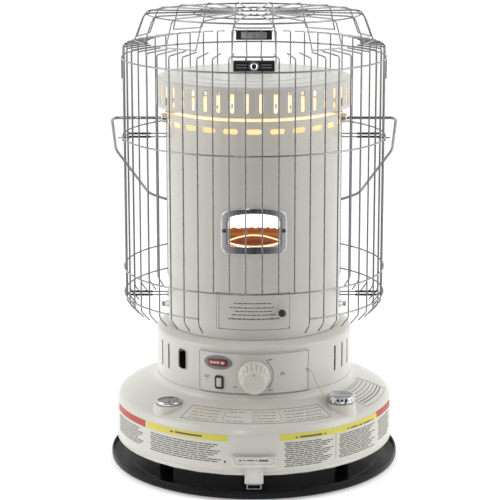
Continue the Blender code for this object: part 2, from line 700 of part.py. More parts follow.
def make_guard_half(name, middle, finish):
    """Half of the cage: its upright wires, and the rings that they are welded to."""
    pitch = 360 / GUARD_WIRES
    half = GUARD_WIRES // 2
    azimuths = [middle + (wire - (half - 1) / 2) * pitch for wire in range(half)]
    side = math.degrees(WIRE / 2 / GUARD_R)
    levels = [(0.1950, 0.2575), (GUARD_R, GUARD_BOTTOM)]
    for ring in GUARD_RINGS:
        levels += [(GUARD_R, ring - WIRE / 2), (GUARD_R, ring + WIRE / 2)]
    levels += [(GUARD_R, GUARD_TOP), (0.1700, 0.6915)]

    def place(column, row):
        azimuth = azimuths[column // 2] + (side if column % 2 else -side)
        return polar(levels[row][0], azimuth, levels[row][1])

    def in_doorway(azimuth):
        return middle == 0 and abs(azimuth) < DOOR_GAP_AZIMUTH

    def filled(column):
        if column % 2 == 0:
            return range(4 if in_doorway(azimuths[column // 2]) else 0, len(levels) - 1)
        between = (azimuths[column // 2] + azimuths[column // 2 + 1]) / 2
        return (4, 6, 8) if in_doorway(between) else (2, 4, 6, 8)

    thicken(add_object(name, lattice(2 * half, place, filled, False), finish["wire"]), WIRE)


def make_top_guard(finish):
    """The flat grille over the cage: three rings, and legs in pairs that end in U-shaped feet."""
    half_widths = {HUB_RING_R: 0.0045, MID_RING_R: 0.0170, TOP_RING_R: 0.0275}
    levels = []
    for ring in (HUB_RING_R, MID_RING_R, TOP_RING_R):
        for radius in (ring - WIRE / 2, ring + WIRE / 2):
            levels.append((radius, TOP_GUARD_Z, half_widths[ring]))
    foot = [(0.1775, 0.7345, 0.0285), (0.1910, 0.6990, 0.0290), (0.1918, 0.6966, 0.0290)]
    clip_foot = [(0.1790, 0.7345, 0.0310), (0.2128, 0.6930, 0.0330), (0.2140, 0.6900, 0.0330)]

    def place(column, row):
        petal, part = divmod(column, 4)
        shape = levels + (clip_foot if petal % (PETALS // 2) == 0 else foot)
        radius, z, half_width = shape[row]
        offset = half_width + (WIRE / 2 if part in (0, 3) else -WIRE / 2)
        turn = math.degrees(math.asin(offset / radius))
        return polar(radius, petal * 360 / PETALS + (turn if part > 1 else -turn), z)

    def filled(column):
        if column % 2 == 0:
            return range(8)
        return (0, 2, 4, 7) if column % 4 == 1 else (0, 2, 4)

    thicken(add_object("top_guard", lattice(4 * PETALS, place, filled, True), finish["wire"]), WIRE)


def make_guard_fittings(finish):
    for side, side_name in ((-1, "left"), (1, "right")):
        for level, level_name in SUPPORT_LEVELS:
            drum_x, end_x = side * (DRUM_R + 0.0016), side * SUPPORT_END_X
            corners = [(drum_x, 0, level + 0.0027), (end_x, 0, level + 0.0027),
                       (end_x, 0, level - 0.0027), (drum_x, 0, level - 0.0027)]
            add_wire(f"guard_support_{level_name}_{side_name}", rounded_path(corners, 0.0022, 2), 0.0011,
                     finish["wire"])
    for side, name in ((-1, "front"), (1, "rear")):
        inner, outer = CLIP_INNER_Y * side, CLIP_OUTER_Y * side
        middle_z = (CLIP_Z[0] + CLIP_Z[1]) / 2
        outline = [(x, z + middle_z) for x, z in
                   rounded_box(2 * CLIP_HALF_WIDTH, CLIP_Z[1] - CLIP_Z[0], 0.003)]
        body = prism(outline, abs(outer - inner) / 2, Matrix.Translation((0, (inner + outer) / 2, 0)))
        clip = add_object(f"guard_clip_{name}", body, finish["black"])
        hole = rod((0, inner - 0.01 * side, middle_z), (0, outer + 0.01 * side, middle_z), 0.0022)
        cut(clip, f"clip_hole_{name}", hole)
        head_y, tip_y = outer + GAP * side, 0.2000 * side
        shank = rod((0, tip_y, middle_z), (0, head_y + 0.001 * side, middle_z), 0.0018, 10)
        screw = add_object(f"clip_screw_{name}", shank, finish["steel"])
        head = rod((0, head_y, middle_z), (0, head_y + 0.0022 * side, middle_z), 0.0045, 12)
        boolean(screw, "UNION", f"clip_screw_head_{name}", head)


def make_bail(finish):
    for side, name in ((-1, "left"), (1, "right")):
        place = Matrix.Translation((side * (DRUM_R + 0.0003), 0, BAIL_PIVOT_Z))
        place = place @ Matrix.Rotation(math.radians(90 * side), 4, "Y")
        cup = [(0, 0), (0.0078, 0), (0.0078, 0.0060), (0.0062, 0.0085), (0.0030, 0.0085),
               (0.0030, 0.0015), (0, 0.0015)]
        add_object(f"bail_bushing_{name}", turned(cup, 16), finish["steel"], place=place)
    angle = math.radians(BAIL_REST_ANGLE)
    along = Vector((0, math.sin(angle), -math.cos(angle)))
    pivot = Vector((0, 0, BAIL_PIVOT_Z))
    half = [(DRUM_R + 0.0022, 0), (BAIL_HALF_WIDTH, 0), (BAIL_HALF_WIDTH, 0.102), (0.182, 0.250),
            (0.150, 0.274), (0, BAIL_LENGTH)]
    route = [(-x, length) for x, length in half] + half[-2::-1]
    corners = [pivot + Vector((x, 0, 0)) + along * length for x, length in route]
    bail = add_wire("bail_handle", rounded_path(corners, 0.016, 3), BAIL_WIRE_R, finish["wire"], 1, pivot)
    return bail


def make_gauge(finish):
    x, y = GAUGE_XY
    place = Matrix.Translation((x, y, 0))
    body = [(0.0024, 0.1190), (GAUGE_R, 0.1190), (GAUGE_R, GAUGE_TOP - 0.0016), (GAUGE_R - 0.0012, GAUGE_TOP),
            (0.0180, GAUGE_TOP), (0.0180, 0.1322), (0.0024, 0.1322)]
    add_object("gauge_body", turned(body, 24), finish["chrome"], place=place)
    dial = [(0.0024, 0.1326), (DIAL_R, 0.1326), (DIAL_R, 0.1331), (0.0024, 0.1331)]
    add_object("gauge_dial", turned(dial, 24), finish["white"], place=place)
    lens = [(0, 0.1354), (DIAL_R, 0.1354), (DIAL_R, 0.1362), (0, 0.1362)]
    add_object("gauge_lens", turned(lens, 24), finish["glass"], place=place)
    spindle = rod((0, 0, 0.0550), (0, 0, 0.1348), NEEDLE_R)
    needle = add_object("gauge_needle", spindle, finish["black"], place=place)
    pointer = block((x - 0.0010, y - 0.0040, 0.1336), (x + 0.0010, y + 0.0140, 0.1346))
    boolean(needle, "UNION", "gauge_pointer", pointer)
    cork = [(0.0024, 0.085), (0.0130, 0.085), (0.0130, 0.101), (0.0024, 0.101)]
    add_object("gauge_float", turned(cork, 16), finish["wick"], place=place)


def make_filler(finish):
    x, y = FILLER_XY
    place = Matrix.Translation((x, y, 0))
    neck = [(NECK_R - 0.0014, 0.1180), (NECK_R, 0.1180), (NECK_R, 0.1415), (NECK_R - 0.0014, 0.1415)]
    add_object("filler_neck", turned(neck, SMALL_ROUND), finish["steel"], place=place)
    low, high = CAP_Z
    cap = [(0.0188, low), (CAP_R, low), (CAP_R, high - 0.0020), (CAP_R - 0.002, high), (0, high),
           (0, high - 0.0025), (0.0188, high - 0.0025)]
    add_object("fuel_cap", turned(cap, 24), finish["chrome"], place=place)
    route = [
        polar(PANEL_OUT + 0.0012, 31.8, 0.188), polar(0.1680, 33.0, 0.1840), polar(0.1715, 34.6, 0.1700),
        polar(0.1770, 36.5, 0.1540), polar(0.1830, 38.0, 0.1440), (0.1140, -0.1470, 0.1405),
        (0.1148, -0.1440, 0.1412),
    ]
    add_wire("cap_tether", smooth_route(route, 4), 0.0007, finish["steel"], 2)


def smooth_route(points, steps):
    """A Catmull-Rom curve through the points of a cord's route."""
    points = [Vector(point) for point in points]
    padded = [2 * points[0] - points[1]] + points + [2 * points[-1] - points[-2]]
    route = []
    for a, b, c, d in zip(padded, padded[1:], padded[2:], padded[3:]):
        for step in range(steps):
            t = step / steps
            route.append(0.5 * (2 * b + (c - a) * t + (2 * a - 5 * b + 4 * c - d) * t ** 2
                                + (3 * b - a - 3 * c + d) * t ** 3))
    route.append(points[-1])
    return route


def make_igniter(finish):
    """Push lever under the tank: its paddle at the front lifts the ignition rod up the air tube."""
    x, y, z = LEVER_PIVOT
    pivot = add_pivot("lever_axis", LEVER_PIVOT)
    stem_front, stem_back = STEM_Y
    face = block((-PADDLE_HALF_WIDTH, LEVER_FRONT_Y, PADDLE_Z[0]), (PADDLE_HALF_WIDTH, -0.2306, PADDLE_Z[1]))
    paddle = add_object("igniter_lever", face, finish["enamel"], parent=pivot)
    stem = block((-STEM_HALF_WIDTH, stem_front, 0.0275), (STEM_HALF_WIDTH, stem_back, 0.0600))
    boolean(paddle, "UNION", "lever_stem", stem)
    arm = block((-0.0110, stem_front - 0.0002, 0.0270), (0.0110, 0.0060, 0.0310))
    boolean(paddle, "UNION", "lever_arm", arm)
    cut(paddle, "lever_bore", rod((-0.02, y, z), (0.02, y, z), 0.0012, 10))
    ears = joined(block((-0.0150, y - 0.006, 0.0260), (-0.0130, y + 0.006, TANK_BOTTOM - 0.0012)),
                  block((0.0130, y - 0.006, 0.0260), (0.0150, y + 0.006, TANK_BOTTOM - 0.0012)))
    plate = block((-0.0150, y - 0.010, TANK_BOTTOM - 0.0018), (0.0150, y + 0.010, TANK_BOTTOM - GAP))
    bracket = add_object("lever_bracket", plate, finish["steel"])
    boolean(bracket, "UNION", "bracket_ears", ears)
    boolean(bracket, "UNION", "bracket_pin", rod((-0.0140, y, z), (0.0140, y, z), 0.0008, 8))
    igniter = add_object("ignition_rod", rod((0, 0, 0.0316), (0, 0, 0.2480), IGNITION_ROD_R), finish["steel"])
    coil = [(0, 0.2454), (0.0060, 0.2454), (0.0060, 0.2520), (0.0030, 0.2600), (0, 0.2600)]
    boolean(igniter, "UNION", "ignition_coil", turned(coil, 12))


def make_battery_case(finish):
    half = CASE_HALF_LENGTH
    wall = CASE_WALL
    shell = block((-half, CASE_Y[0], CASE_Z[0]), (half, CASE_Y[1], CASE_Z[1]))
    case = add_object("battery_case", shell, finish["black"])
    cut(case, "case_hollow", block((-half + wall, CASE_Y[0] + wall, CASE_Z[0] + wall),
                                   (half - wall, CASE_Y[1] - wall, CASE_Z[1] + 0.01)))
    middle_y = (CASE_Y[0] + CASE_Y[1]) / 2
    cell_z = CASE_Z[0] + wall + CELL_R + GAP
    for name, start in (("battery_cell_1", -0.0635), ("battery_cell_2", 0.0010)):
        cell = rod((start, middle_y, cell_z), (start + CELL_LENGTH, middle_y, cell_z), CELL_R, 16)
        add_object(name, cell, finish["cell"])
    lid_low, lid_high = CASE_Z[1] - 0.006, CASE_Z[1] + GAP + 0.0015
    out = 0.0017
    outline = [
        (CASE_Y[0] - out, lid_low), (CASE_Y[0] - out, lid_high), (CASE_Y[1] + out, lid_high),
        (CASE_Y[1] + out, lid_low), (CASE_Y[1] + GAP, lid_low), (CASE_Y[1] + GAP, CASE_Z[1] + GAP),
        (CASE_Y[0] - GAP, CASE_Z[1] + GAP), (CASE_Y[0] - GAP, lid_low),
    ]
    swap = Matrix(((0, 1, 0, 0), (1, 0, 0, 0), (0, 0, 1, 0), (0, 0, 0, 1)))
    add_object("battery_lid", prism(outline, half, swap), finish["black"])


def build():
    clear_scene()
    finish = make_finishes()
    make_tray(finish)
    make_tank(finish)
    make_wick_parts(finish)
    make_knob(finish)
    make_housing(finish)
    make_tip_switch(finish)
    make_burner(finish)
    make_drum(finish)
    make_hood(finish)
    make_door(finish)
    make_guard_half("front_guard", 0.0, finish)
    make_guard_half("rear_guard", 180.0, finish)
    make_top_guard(finish)
    make_guard_fittings(finish)
    make_bail(finish)
    make_gauge(finish)
    make_filler(finish)
    make_igniter(finish)
    make_battery_case(finish)


build()
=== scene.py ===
import json
from math import atan2, ceil, copysign, cos, degrees, floor, pi, radians, sin, sqrt

import bmesh
import bpy
from mathutils import Matrix, Vector


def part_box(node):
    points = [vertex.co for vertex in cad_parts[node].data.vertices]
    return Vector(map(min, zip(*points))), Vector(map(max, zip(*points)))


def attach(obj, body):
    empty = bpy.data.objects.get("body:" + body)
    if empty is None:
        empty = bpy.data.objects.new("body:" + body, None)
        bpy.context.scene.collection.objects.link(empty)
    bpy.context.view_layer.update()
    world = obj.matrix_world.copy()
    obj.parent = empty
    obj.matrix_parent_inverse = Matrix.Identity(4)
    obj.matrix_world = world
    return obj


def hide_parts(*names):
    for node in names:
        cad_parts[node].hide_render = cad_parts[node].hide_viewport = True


# The looks of a kerosene convection heater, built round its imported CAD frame. Metres, +Z up, front at -Y.
# Azimuths are in degrees round the Z axis, 0 at the front and positive towards +X.

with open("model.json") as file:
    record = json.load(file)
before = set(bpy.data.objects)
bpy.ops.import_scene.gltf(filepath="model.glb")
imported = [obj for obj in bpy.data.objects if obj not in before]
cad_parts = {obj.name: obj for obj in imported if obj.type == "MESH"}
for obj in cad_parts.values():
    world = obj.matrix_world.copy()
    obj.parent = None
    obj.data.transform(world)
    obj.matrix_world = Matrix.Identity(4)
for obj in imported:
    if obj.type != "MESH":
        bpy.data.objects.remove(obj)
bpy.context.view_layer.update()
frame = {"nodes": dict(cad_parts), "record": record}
SLOT_OF_NODE = {part["node"]: part["material_slot"] for part in frame["record"]["subparts"]}


def reach(node):
    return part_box(node)[1].x


def top(node):
    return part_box(node)[1].z


def bottom(node):
    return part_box(node)[0].z


def middle(node):
    low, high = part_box(node)
    return (low + high) / 2


# Round pieces, read from the frame.
SHEET = 0.0012
TRAY_R = reach("drip_tray")
TANK_R = reach("fuel_tank")
HOUSING_R = reach("burner_housing")
DRUM_R = reach("heat_drum")
HOOD_R = reach("hood")
FLAME_R = reach("outer_flame_cylinder")
WIRE_R = 0.0012
RING_R = 0.0014
GUARD_R = reach("rear_guard") - WIRE_R
RING_AT = GUARD_R + WIRE_R + RING_R
TURN = 192
SIDES = ((-1, "left"), (1, "right"))

# Housing and panel.
HOUSING_SLOT_AZIMUTHS = (54.5, 63.0, 71.5, -59.3, -68.3)
HOUSING_SLOT_Z = 0.1925
HOUSING_HOLE_AZIMUTH = -45.6
HOUSING_HOLE_Z = 0.1965
SHAFT_HOLE_R = 0.0045
PANEL_BACK = 0.1607
PANEL_OUT = 0.1622
PANEL_AZIMUTH = 32.5
BUTTON_AZIMUTH = -19.7
BUTTON_Z = 0.17
BUTTON_HOLE = (0.0096, 0.0156, 0.002)
BADGE_AZIMUTH = -20.6
KNOB_Z = middle("wick_knob").z

# Drum, hood and door.
DRUM_SLOTS = 24
DRUM_SLOT_Z = 0.5675
HOOD_SLOTS = 44
HOOD_SLOT_Z = 0.6143
WINDOW_Z = middle("window_frame").z
DOOR_AZIMUTHS = (-23.25, 23.3)
HINGE_AZIMUTH = -23.9
HINGE_R = 0.1404
DOOR_KNOB_AZIMUTH = 17.2

# Wire guard.
GUARD_WIRES = 52
GUARD_RINGS = (0.2837, 0.3267, 0.5413, 0.668)
DOOR_GAP = 24.0
PETALS = 10
TOP_RINGS = (0.038, 0.096, 0.17)

# Pieces on the tank's crown, the bail and the igniter's lever.
GAUGE = middle("gauge_body")
CAP = middle("fuel_cap")
TETHER_AZIMUTH = 31.8
TETHER_Z = 0.188
BAIL_PIVOT = Vector((0, 0, 0.5684))
BAIL_REST = radians(50.0)
STEM_Z = 0.0437
BEAM_Z = 0.029


# ---------------------------------------------------------------- places and outlines

def polar(radius, azimuth, z=0.0):
    angle = radians(azimuth)
    return Vector((radius * sin(angle), -radius * cos(angle), z))


def moved(x=0.0, y=0.0, z=0.0, turn=0.0, axis="Z"):
    """A place, turned by some degrees round one axis."""
    return Matrix.Translation((x, y, z)) @ Matrix.Rotation(radians(turn), 4, axis)


def facing(azimuth, radius=0.0, z=0.0):
    """A place on the heater's side: local X along the wall, local Y inwards, local Z up."""
    return moved(*polar(radius, azimuth, z), azimuth)


def outwards(azimuth, radius, z):
    """A place on the heater's side whose local Z points out of the wall."""
    return facing(azimuth, radius, z) @ moved(turn=90, axis="X")


def rounded(points, distance, steps=4, closed=False):
    """A line whose corners become curves that start and end at a distance from the corner."""
    points = [Vector(point) for point in points]
    count = len(points)
    made = []
    for index, corner in enumerate(points):
        if not closed and index in (0, count - 1):
            made.append(corner)
            continue
        back, ahead = points[index - 1] - corner, points[(index + 1) % count] - corner
        if back.angle(ahead) > radians(174):
            made.append(corner)
            continue
        start = corner + back.normalized() * min(distance, back.length * 0.45)
        end = corner + ahead.normalized() * min(distance, ahead.length * 0.45)
        for step in range(steps + 1):
            t = step / steps
            made.append(start * (1 - t) ** 2 + corner * 2 * t * (1 - t) + end * t ** 2)
    return made


def soft(outline, distance, steps=4, closed=True):
    """An outline with its corners rounded."""
    return [tuple(point) for point in rounded(outline, distance, steps, closed)]


def smooth_route(points, steps):
    """A Catmull-Rom curve through the points."""
    points = [Vector(point) for point in points]
    padded = [2 * points[0] - points[1]] + points + [2 * points[-1] - points[-2]]
    route = []
    for a, b, c, d in zip(padded, padded[1:], padded[2:], padded[3:]):
        for step in range(steps):
            t = step / steps
            route.append(0.5 * (2 * b + (c - a) * t + (2 * a - 5 * b + 4 * c - d) * t ** 2
                                + (3 * b - a - 3 * c + d) * t ** 3))
    route.append(points[-1])
    return route


def sheet_outline(path, thickness=SHEET):
    """The outline of a sheet whose outer face runs along path, with its metal on the path's left."""
    points = [Vector(point) for point in path]
    inner = []
    for index, point in enumerate(points):
        before = points[max(index - 1, 0)]
        after = points[min(index + 1, len(points) - 1)]
        back = (point - before).normalized() if index else (after - point).normalized()
        ahead = (after - point).normalized() if index < len(points) - 1 else back
        normal = Vector((-(back + ahead).y, (back + ahead).x)).normalized()
        across = normal.dot(Vector((-back.y, back.x)))
        inner.append(point + normal * thickness / max(across, 0.5))
    return [tuple(point) for point in points + inner[::-1]]


def rounded_box(width, height, radius, steps=5, x=0.0, z=0.0):
    half, rise = width / 2, height / 2
    corners = [(half, rise), (-half, rise), (-half, -rise), (half, -rise)]
    return [(x + point.x, z + point.y) for point in rounded(corners, radius * 1.15, steps, True)]


def pill(width, height, x=0.0, z=0.0, steps=8):
    """The outline of a long slot with round ends."""
    nose = min(width, height) / 2
    points = []
    for end in (1, -1):
        for step in range(steps + 1):
            angle = radians(-90 + 180 * step / steps)
            along = (max(width, height) / 2 - nose + nose * cos(angle)) * end
            across = nose * sin(angle) * end
            points.append((x + along, z + across) if width > height else (x - across, z + along))
    return points


def ellipse(half_width, half_height, x=0.0, z=0.0, steps=48):
    angles = [2 * pi * i / steps for i in range(steps)]
    return [(x + half_width * cos(angle), z + half_height * sin(angle)) for angle in angles]


def circle(radius, x=0.0, z=0.0):
    return ellipse(radius, radius, x, z)


def dash(x, z, width, height=0.0012, slope=0.0):
    """A short bar round a point, which may run slightly uphill."""
    half, rise, drift = width / 2, height / 2, slope * width / 2
    return [(x - half, z - rise - drift), (x + half, z - rise + drift),
            (x + half, z + rise + drift), (x - half, z + rise - drift)]


def mirrored(half):
    """A closed outline from its right half, which runs from the bottom corner to the middle of the top."""
    left = [(-x, z) for x, z in half]
    return left[:1] + half + left[-2:0:-1]


def word_spans(start, end, shortest, growth, gap, pace, seed, slack=1.0):
    """Starts and ends of made-up words along a line, with none begun within slack of its end."""
    place, count = start, 0
    while place < end - slack:
        width = shortest + growth * ((count * pace + seed) % 4)
        yield place, min(place + width, end)
        place += width + gap
        count += 1


# ---------------------------------------------------------------- shapes

def placed(shape, place):
    bmesh.ops.transform(shape, matrix=place, verts=shape.verts)
    return shape


def turned(outline, segments=TURN, flutes=0):
    """Revolve a closed outline about Z. Its points are (radius, z), or (radius, z, depth of fluting)."""
    shape = bmesh.new()
    rings = []
    for radius, z, *depth in outline:
        if radius < 1e-6:
            rings.append([shape.verts.new((0, 0, z))] * segments)
            continue
        ring = []
        for i in range(segments):
            azimuth = 360 * i / segments
            dip = sum(depth) * (0.5 - 0.5 * cos(radians(azimuth * flutes))) ** 2
            ring.append(shape.verts.new(polar(radius - dip, azimuth, z)))
        rings.append(ring)
    for ring, other in zip(rings, rings[1:] + rings[:1]):
        for i in range(segments):
            j = (i + 1) % segments
            corners = list(dict.fromkeys((ring[i], ring[j], other[j], other[i])))
            if len(corners) > 2:
                shape.faces.new(corners)
    return shape


def bridge(shape, near, far):
    """Join two loops of points with a band of faces."""
    for i in range(len(near)):
        j = (i + 1) % len(near)
        shape.faces.new((near[i], near[j], far[j], far[i]))


def arc_solid(outline, start, end, steps):
    """Sweep a closed outline of (radius, z) points round Z from one azimuth to another."""
    shape = bmesh.new()
    sections = []
    for step in range(steps + 1):
        azimuth = start + (end - start) * step / steps
        sections.append([shape.verts.new(polar(radius, azimuth, z)) for radius, z in outline])
    for near, far in zip(sections, sections[1:]):
        bridge(shape, near, far)
    shape.faces.new(sections[0])
    shape.faces.new(sections[-1][::-1])
    return shape


def prism(outline, depth):
    """Extrude a closed outline of (x, z) points by depth either way along Y."""
    shape = bmesh.new()
    front = [shape.verts.new((x, -depth, z)) for x, z in outline]
    back = [shape.verts.new((x, depth, z)) for x, z in outline]
    shape.faces.new(front)
    shape.faces.new(back[::-1])
    for i in range(len(outline)):
        j = (i + 1) % len(outline)
        shape.faces.new((front[j], front[i], back[i], back[j]))
    return shape


def plate(outlines, thickness, edge=0.0):
    """A flat plate in the XZ plane, its back at y = 0 and its edges rounded. Inner outlines are holes."""
    curve = bpy.data.curves.new("scratch", "CURVE")
    curve.dimensions = "2D"
    curve.fill_mode = "BOTH"
    curve.extrude = thickness / 2 - edge
    curve.bevel_depth = edge
    curve.bevel_resolution = 2
    curve.offset = -edge
    for outline in outlines:
        spline = curve.splines.new("POLY")
        spline.use_cyclic_u = True
        spline.points.add(len(outline) - 1)
        for slot, (x, z) in zip(spline.points, outline):
            slot.co = (x, z, 0, 1)
    holder = bpy.data.objects.new("scratch", curve)
    bpy.context.scene.collection.objects.link(holder)
    mesh = bpy.data.meshes.new_from_object(holder)
    shape = bmesh.new()
    shape.from_mesh(mesh)
    bpy.data.objects.remove(holder)
    bpy.data.curves.remove(curve)
    bpy.data.meshes.remove(mesh)
    bmesh.ops.remove_doubles(shape, verts=shape.verts, dist=1e-6)
    for vert in shape.verts:
        vert.co = Vector((vert.co.x, -vert.co.z - thickness / 2, vert.co.y))
    return shape


def bent(shape, radius, azimuth=0.0, z=0.0, step=2.0):
    """Wrap a flat plate round the heater: x runs along the wall and y inwards from the radius."""
    pitch = radians(step) * radius
    low = min(vert.co.x for vert in shape.verts)
    high = max(vert.co.x for vert in shape.verts)
    for line in range(ceil(low / pitch), floor(high / pitch) + 1):
        everything = list(shape.verts) + list(shape.edges) + list(shape.faces)
        bmesh.ops.bisect_plane(shape, geom=everything, plane_co=(line * pitch, 0, 0), plane_no=(1, 0, 0))
    for vert in shape.verts:
        across, inwards, up = vert.co
        vert.co = polar(radius - inwards, azimuth + degrees(across / radius), z + up)
    return shape


def joined(*shapes):
    total = bmesh.new()
    for shape in shapes:
        mesh = bpy.data.meshes.new("scratch")
        shape.to_mesh(mesh)
        shape.free()
        total.from_mesh(mesh)
        bpy.data.meshes.remove(mesh)
    return total


def scratch(shape):
    bmesh.ops.recalc_face_normals(shape, faces=shape.faces)
    mesh = bpy.data.meshes.new("scratch")
    shape.to_mesh(mesh)
    shape.free()
    made = bpy.data.objects.new("scratch", mesh)
    bpy.context.scene.collection.objects.link(made)
    return made


def cut(shape, *cutters):
    """The shape less its cutters."""
    target, helper = scratch(shape), scratch(joined(*cutters))
    change = target.modifiers.new("cut", "BOOLEAN")
    change.operation = "DIFFERENCE"
    change.solver = "EXACT"
    change.object = helper
    bpy.context.view_layer.update()
    result = bmesh.new()
    result.from_object(target, bpy.context.evaluated_depsgraph_get())
    for item in (target, helper):
        mesh = item.data
        bpy.data.objects.remove(item)
        bpy.data.meshes.remove(mesh)
    return result


def sweep(shape, path, radius, sides=10, closed=False):
    """Add a round wire along a line of points to a shape."""
    points = [Vector(point) for point in path]
    count = len(points)
    side = None
    rings = []
    for index, point in enumerate(points):
        before = points[index - 1] if index or closed else point
        after = points[(index + 1) % count] if index < count - 1 or closed else point
        along = (after - before).normalized()
        if side is None:
            side = along.orthogonal()
        side = (side - along * side.dot(along)).normalized()
        other = along.cross(side)
        angles = [2 * pi * step / sides for step in range(sides)]
        rings.append([shape.verts.new(point + radius * (cos(angle) * side + sin(angle) * other))
                      for angle in angles])
    for near, far in zip(rings, rings[1:] + rings[:1] if closed else rings[1:]):
        bridge(shape, near, far)
    if not closed:
        shape.faces.new(rings[0][::-1])
        shape.faces.new(rings[-1])
    return shape


def wire(path, radius, sides=10):
    return sweep(bmesh.new(), path, radius, sides)


def hoop(shape, radius, z, thick, start=0.0, end=360.0, step=3.0):
    """Add a ring of wire, or an arc of one."""
    closed = end - start >= 360
    count = max(2, round((end - start) / step))
    azimuths = [start + (end - start) * i / count for i in range(count if closed else count + 1)]
    return sweep(shape, [polar(radius, azimuth, z) for azimuth in azimuths], thick, 8, closed)


def line_inside(shape, above=-1.0):
    """Give the faces that look inwards or down the second material."""
    bmesh.ops.recalc_face_normals(shape, faces=shape.faces)
    for face in shape.faces:
        centre = face.calc_center_median()
        outward = Vector((centre.x, centre.y, 0)).normalized()
        inner = face.normal.dot(outward) < -0.5 or face.normal.z < -0.5
        face.material_index = 1 if inner and centre.z > above else 0
    return shape


def round_normals(mesh):
    """Shade walls that run round the heater's axis as true cylinders, whatever is cut in them."""
    normals = [(0.0, 0.0, 0.0)] * len(mesh.loops)
    for face in mesh.polygons:
        for index in face.loop_indices:
            point = mesh.vertices[mesh.loops[index].vertex_index].co
            outward = Vector((point.x, point.y, 0)).normalized()
            level = face.normal.dot(outward)
            if abs(level) > 0.995:
                normals[index] = tuple(outward * copysign(1, level))
    mesh.normals_split_custom_set(normals)


def shown(name, shape, finish, node=None, body="heater", sharp=35, walls=False):
    """Make a shape a visible piece that rides on a body and may stand for a CAD node."""
    bmesh.ops.recalc_face_normals(shape, faces=shape.faces)
    mesh = bpy.data.meshes.new(name)
    shape.to_mesh(mesh)
    shape.free()
    for one in finish if isinstance(finish, list) else [finish]:
        mesh.materials.append(one)
    mesh.shade_smooth()
    mesh.set_sharp_from_angle(angle=radians(sharp))
    if walls:
        round_normals(mesh)
    made = bpy.data.objects.new(name, mesh)
    bpy.context.scene.collection.objects.link(made)
    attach(made, body)
    if node:
        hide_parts(node)


# ---------------------------------------------------------------- finishes

# Where a Mix node keeps its colour sockets.
MIX_A, MIX_B, MIX_RESULT = 6, 7, 2


def shade(colour, factor):
    return tuple(min(part * factor, 1.0) for part in colour) + (1.0,)


def add_node(tree, kind, links=None, **values):
    """Add a node, with values and with other nodes' outputs on its inputs."""
    node = tree.nodes.new(kind)
    for socket, value in values.items():
        node.inputs[socket.replace("_", " ")].default_value = value
    for socket, source in (links or {}).items():
        tree.links.new(source, node.inputs[socket])
    return node


def surface(name, colour, roughness, metallic=0.0, mottle=0.05, patches=14.0, spread=0.05, grain=700.0,
            bump=0.12, depth=0.00005, stretch=(1.0, 1.0, 1.0), extra=None):
    """A finish with slightly uneven colour and roughness, and a fine grain in its bump."""
    made = bpy.data.materials.new(name)
    made.use_nodes = True
    tree = made.node_tree
    shader = tree.nodes["Principled BSDF"]
    for socket, value in {"Metallic": metallic, **(extra or {})}.items():
        shader.inputs[socket].default_value = value
    where = add_node(tree, "ShaderNodeTexCoord").outputs["Object"]
    scaled = add_node(tree, "ShaderNodeMapping", {"Vector": where}, Scale=stretch).outputs["Vector"]

    def noise(scale, detail):
        clouds = add_node(tree, "ShaderNodeTexNoise", {"Vector": scaled}, Scale=scale, Detail=detail)
        return clouds.outputs["Fac"]

    tint = tree.nodes.new("ShaderNodeMix")
    tint.data_type = "RGBA"
    tint.inputs[MIX_A].default_value = shade(colour, 1 - mottle)
    tint.inputs[MIX_B].default_value = shade(colour, 1 + mottle)
    tree.links.new(noise(patches, 5.0), tint.inputs["Factor"])
    tree.links.new(tint.outputs[MIX_RESULT], shader.inputs["Base Color"])

    glossiest, dullest = max(roughness - spread, 0.02), min(roughness + spread, 1.0)
    polish = add_node(tree, "ShaderNodeMapRange", {"Value": noise(patches * 3.1, 3.0)},
                      From_Min=0.3, From_Max=0.7, To_Min=glossiest, To_Max=dullest)
    tree.links.new(polish.outputs["Result"], shader.inputs["Roughness"])
    relief = add_node(tree, "ShaderNodeBump", {"Height": noise(grain, 2.0)}, Strength=bump, Distance=depth)
    tree.links.new(relief.outputs["Normal"], shader.inputs["Normal"])
    return made


def glowing(name, colour, low, high, stops, strength, bow=0.0, ripple=0.12, patches=40.0):
    """Painted light: metal that shines by itself, standing in for the flame's light and its reflections
    inside the heater. Its colour runs up the stops between two heights, with some ripple.

    bow lifts the height by that much for each square metre of distance from the heater's middle plane.
    """
    made = surface(name, colour, 0.45, 0.6)
    tree = made.node_tree
    shader = tree.nodes["Principled BSDF"]

    def work_out(operation, *terms):
        node = tree.nodes.new("ShaderNodeMath")
        node.operation = operation
        for socket, term in zip(node.inputs, terms):
            if isinstance(term, float):
                socket.default_value = term
            else:
                tree.links.new(term, socket)
        return node.outputs[0]

    where = add_node(tree, "ShaderNodeTexCoord").outputs["Object"]
    parts = add_node(tree, "ShaderNodeSeparateXYZ", {"Vector": where}).outputs
    lifted = work_out("MULTIPLY_ADD", work_out("MULTIPLY", parts["X"], parts["X"]), bow, parts["Z"])
    height = add_node(tree, "ShaderNodeMapRange", {"Value": lifted}, From_Min=low, From_Max=high)
    waves = add_node(tree, "ShaderNodeTexNoise", {"Vector": where}, Scale=patches, Detail=3.0)
    shaken = work_out("MULTIPLY_ADD", waves.outputs["Fac"], ripple, height.outputs["Result"])
    ramp = add_node(tree, "ShaderNodeValToRGB", {"Fac": shaken})
    elements = ramp.color_ramp.elements
    ends = [(elements[0], stops[0]), (elements[1], stops[-1])]
    for element, (place, tone) in ends:
        element.position = place
        element.color = (*tone, 1.0)
    for place, tone in stops[1:-1]:
        elements.new(place).color = (*tone, 1.0)
    tree.links.new(ramp.outputs["Color"], shader.inputs["Emission Color"])
    shader.inputs["Emission Strength"].default_value = strength
    return made


def ink(name, colour, mottle=0.2):
    return surface(name, colour, 0.5, mottle=mottle, patches=200.0)


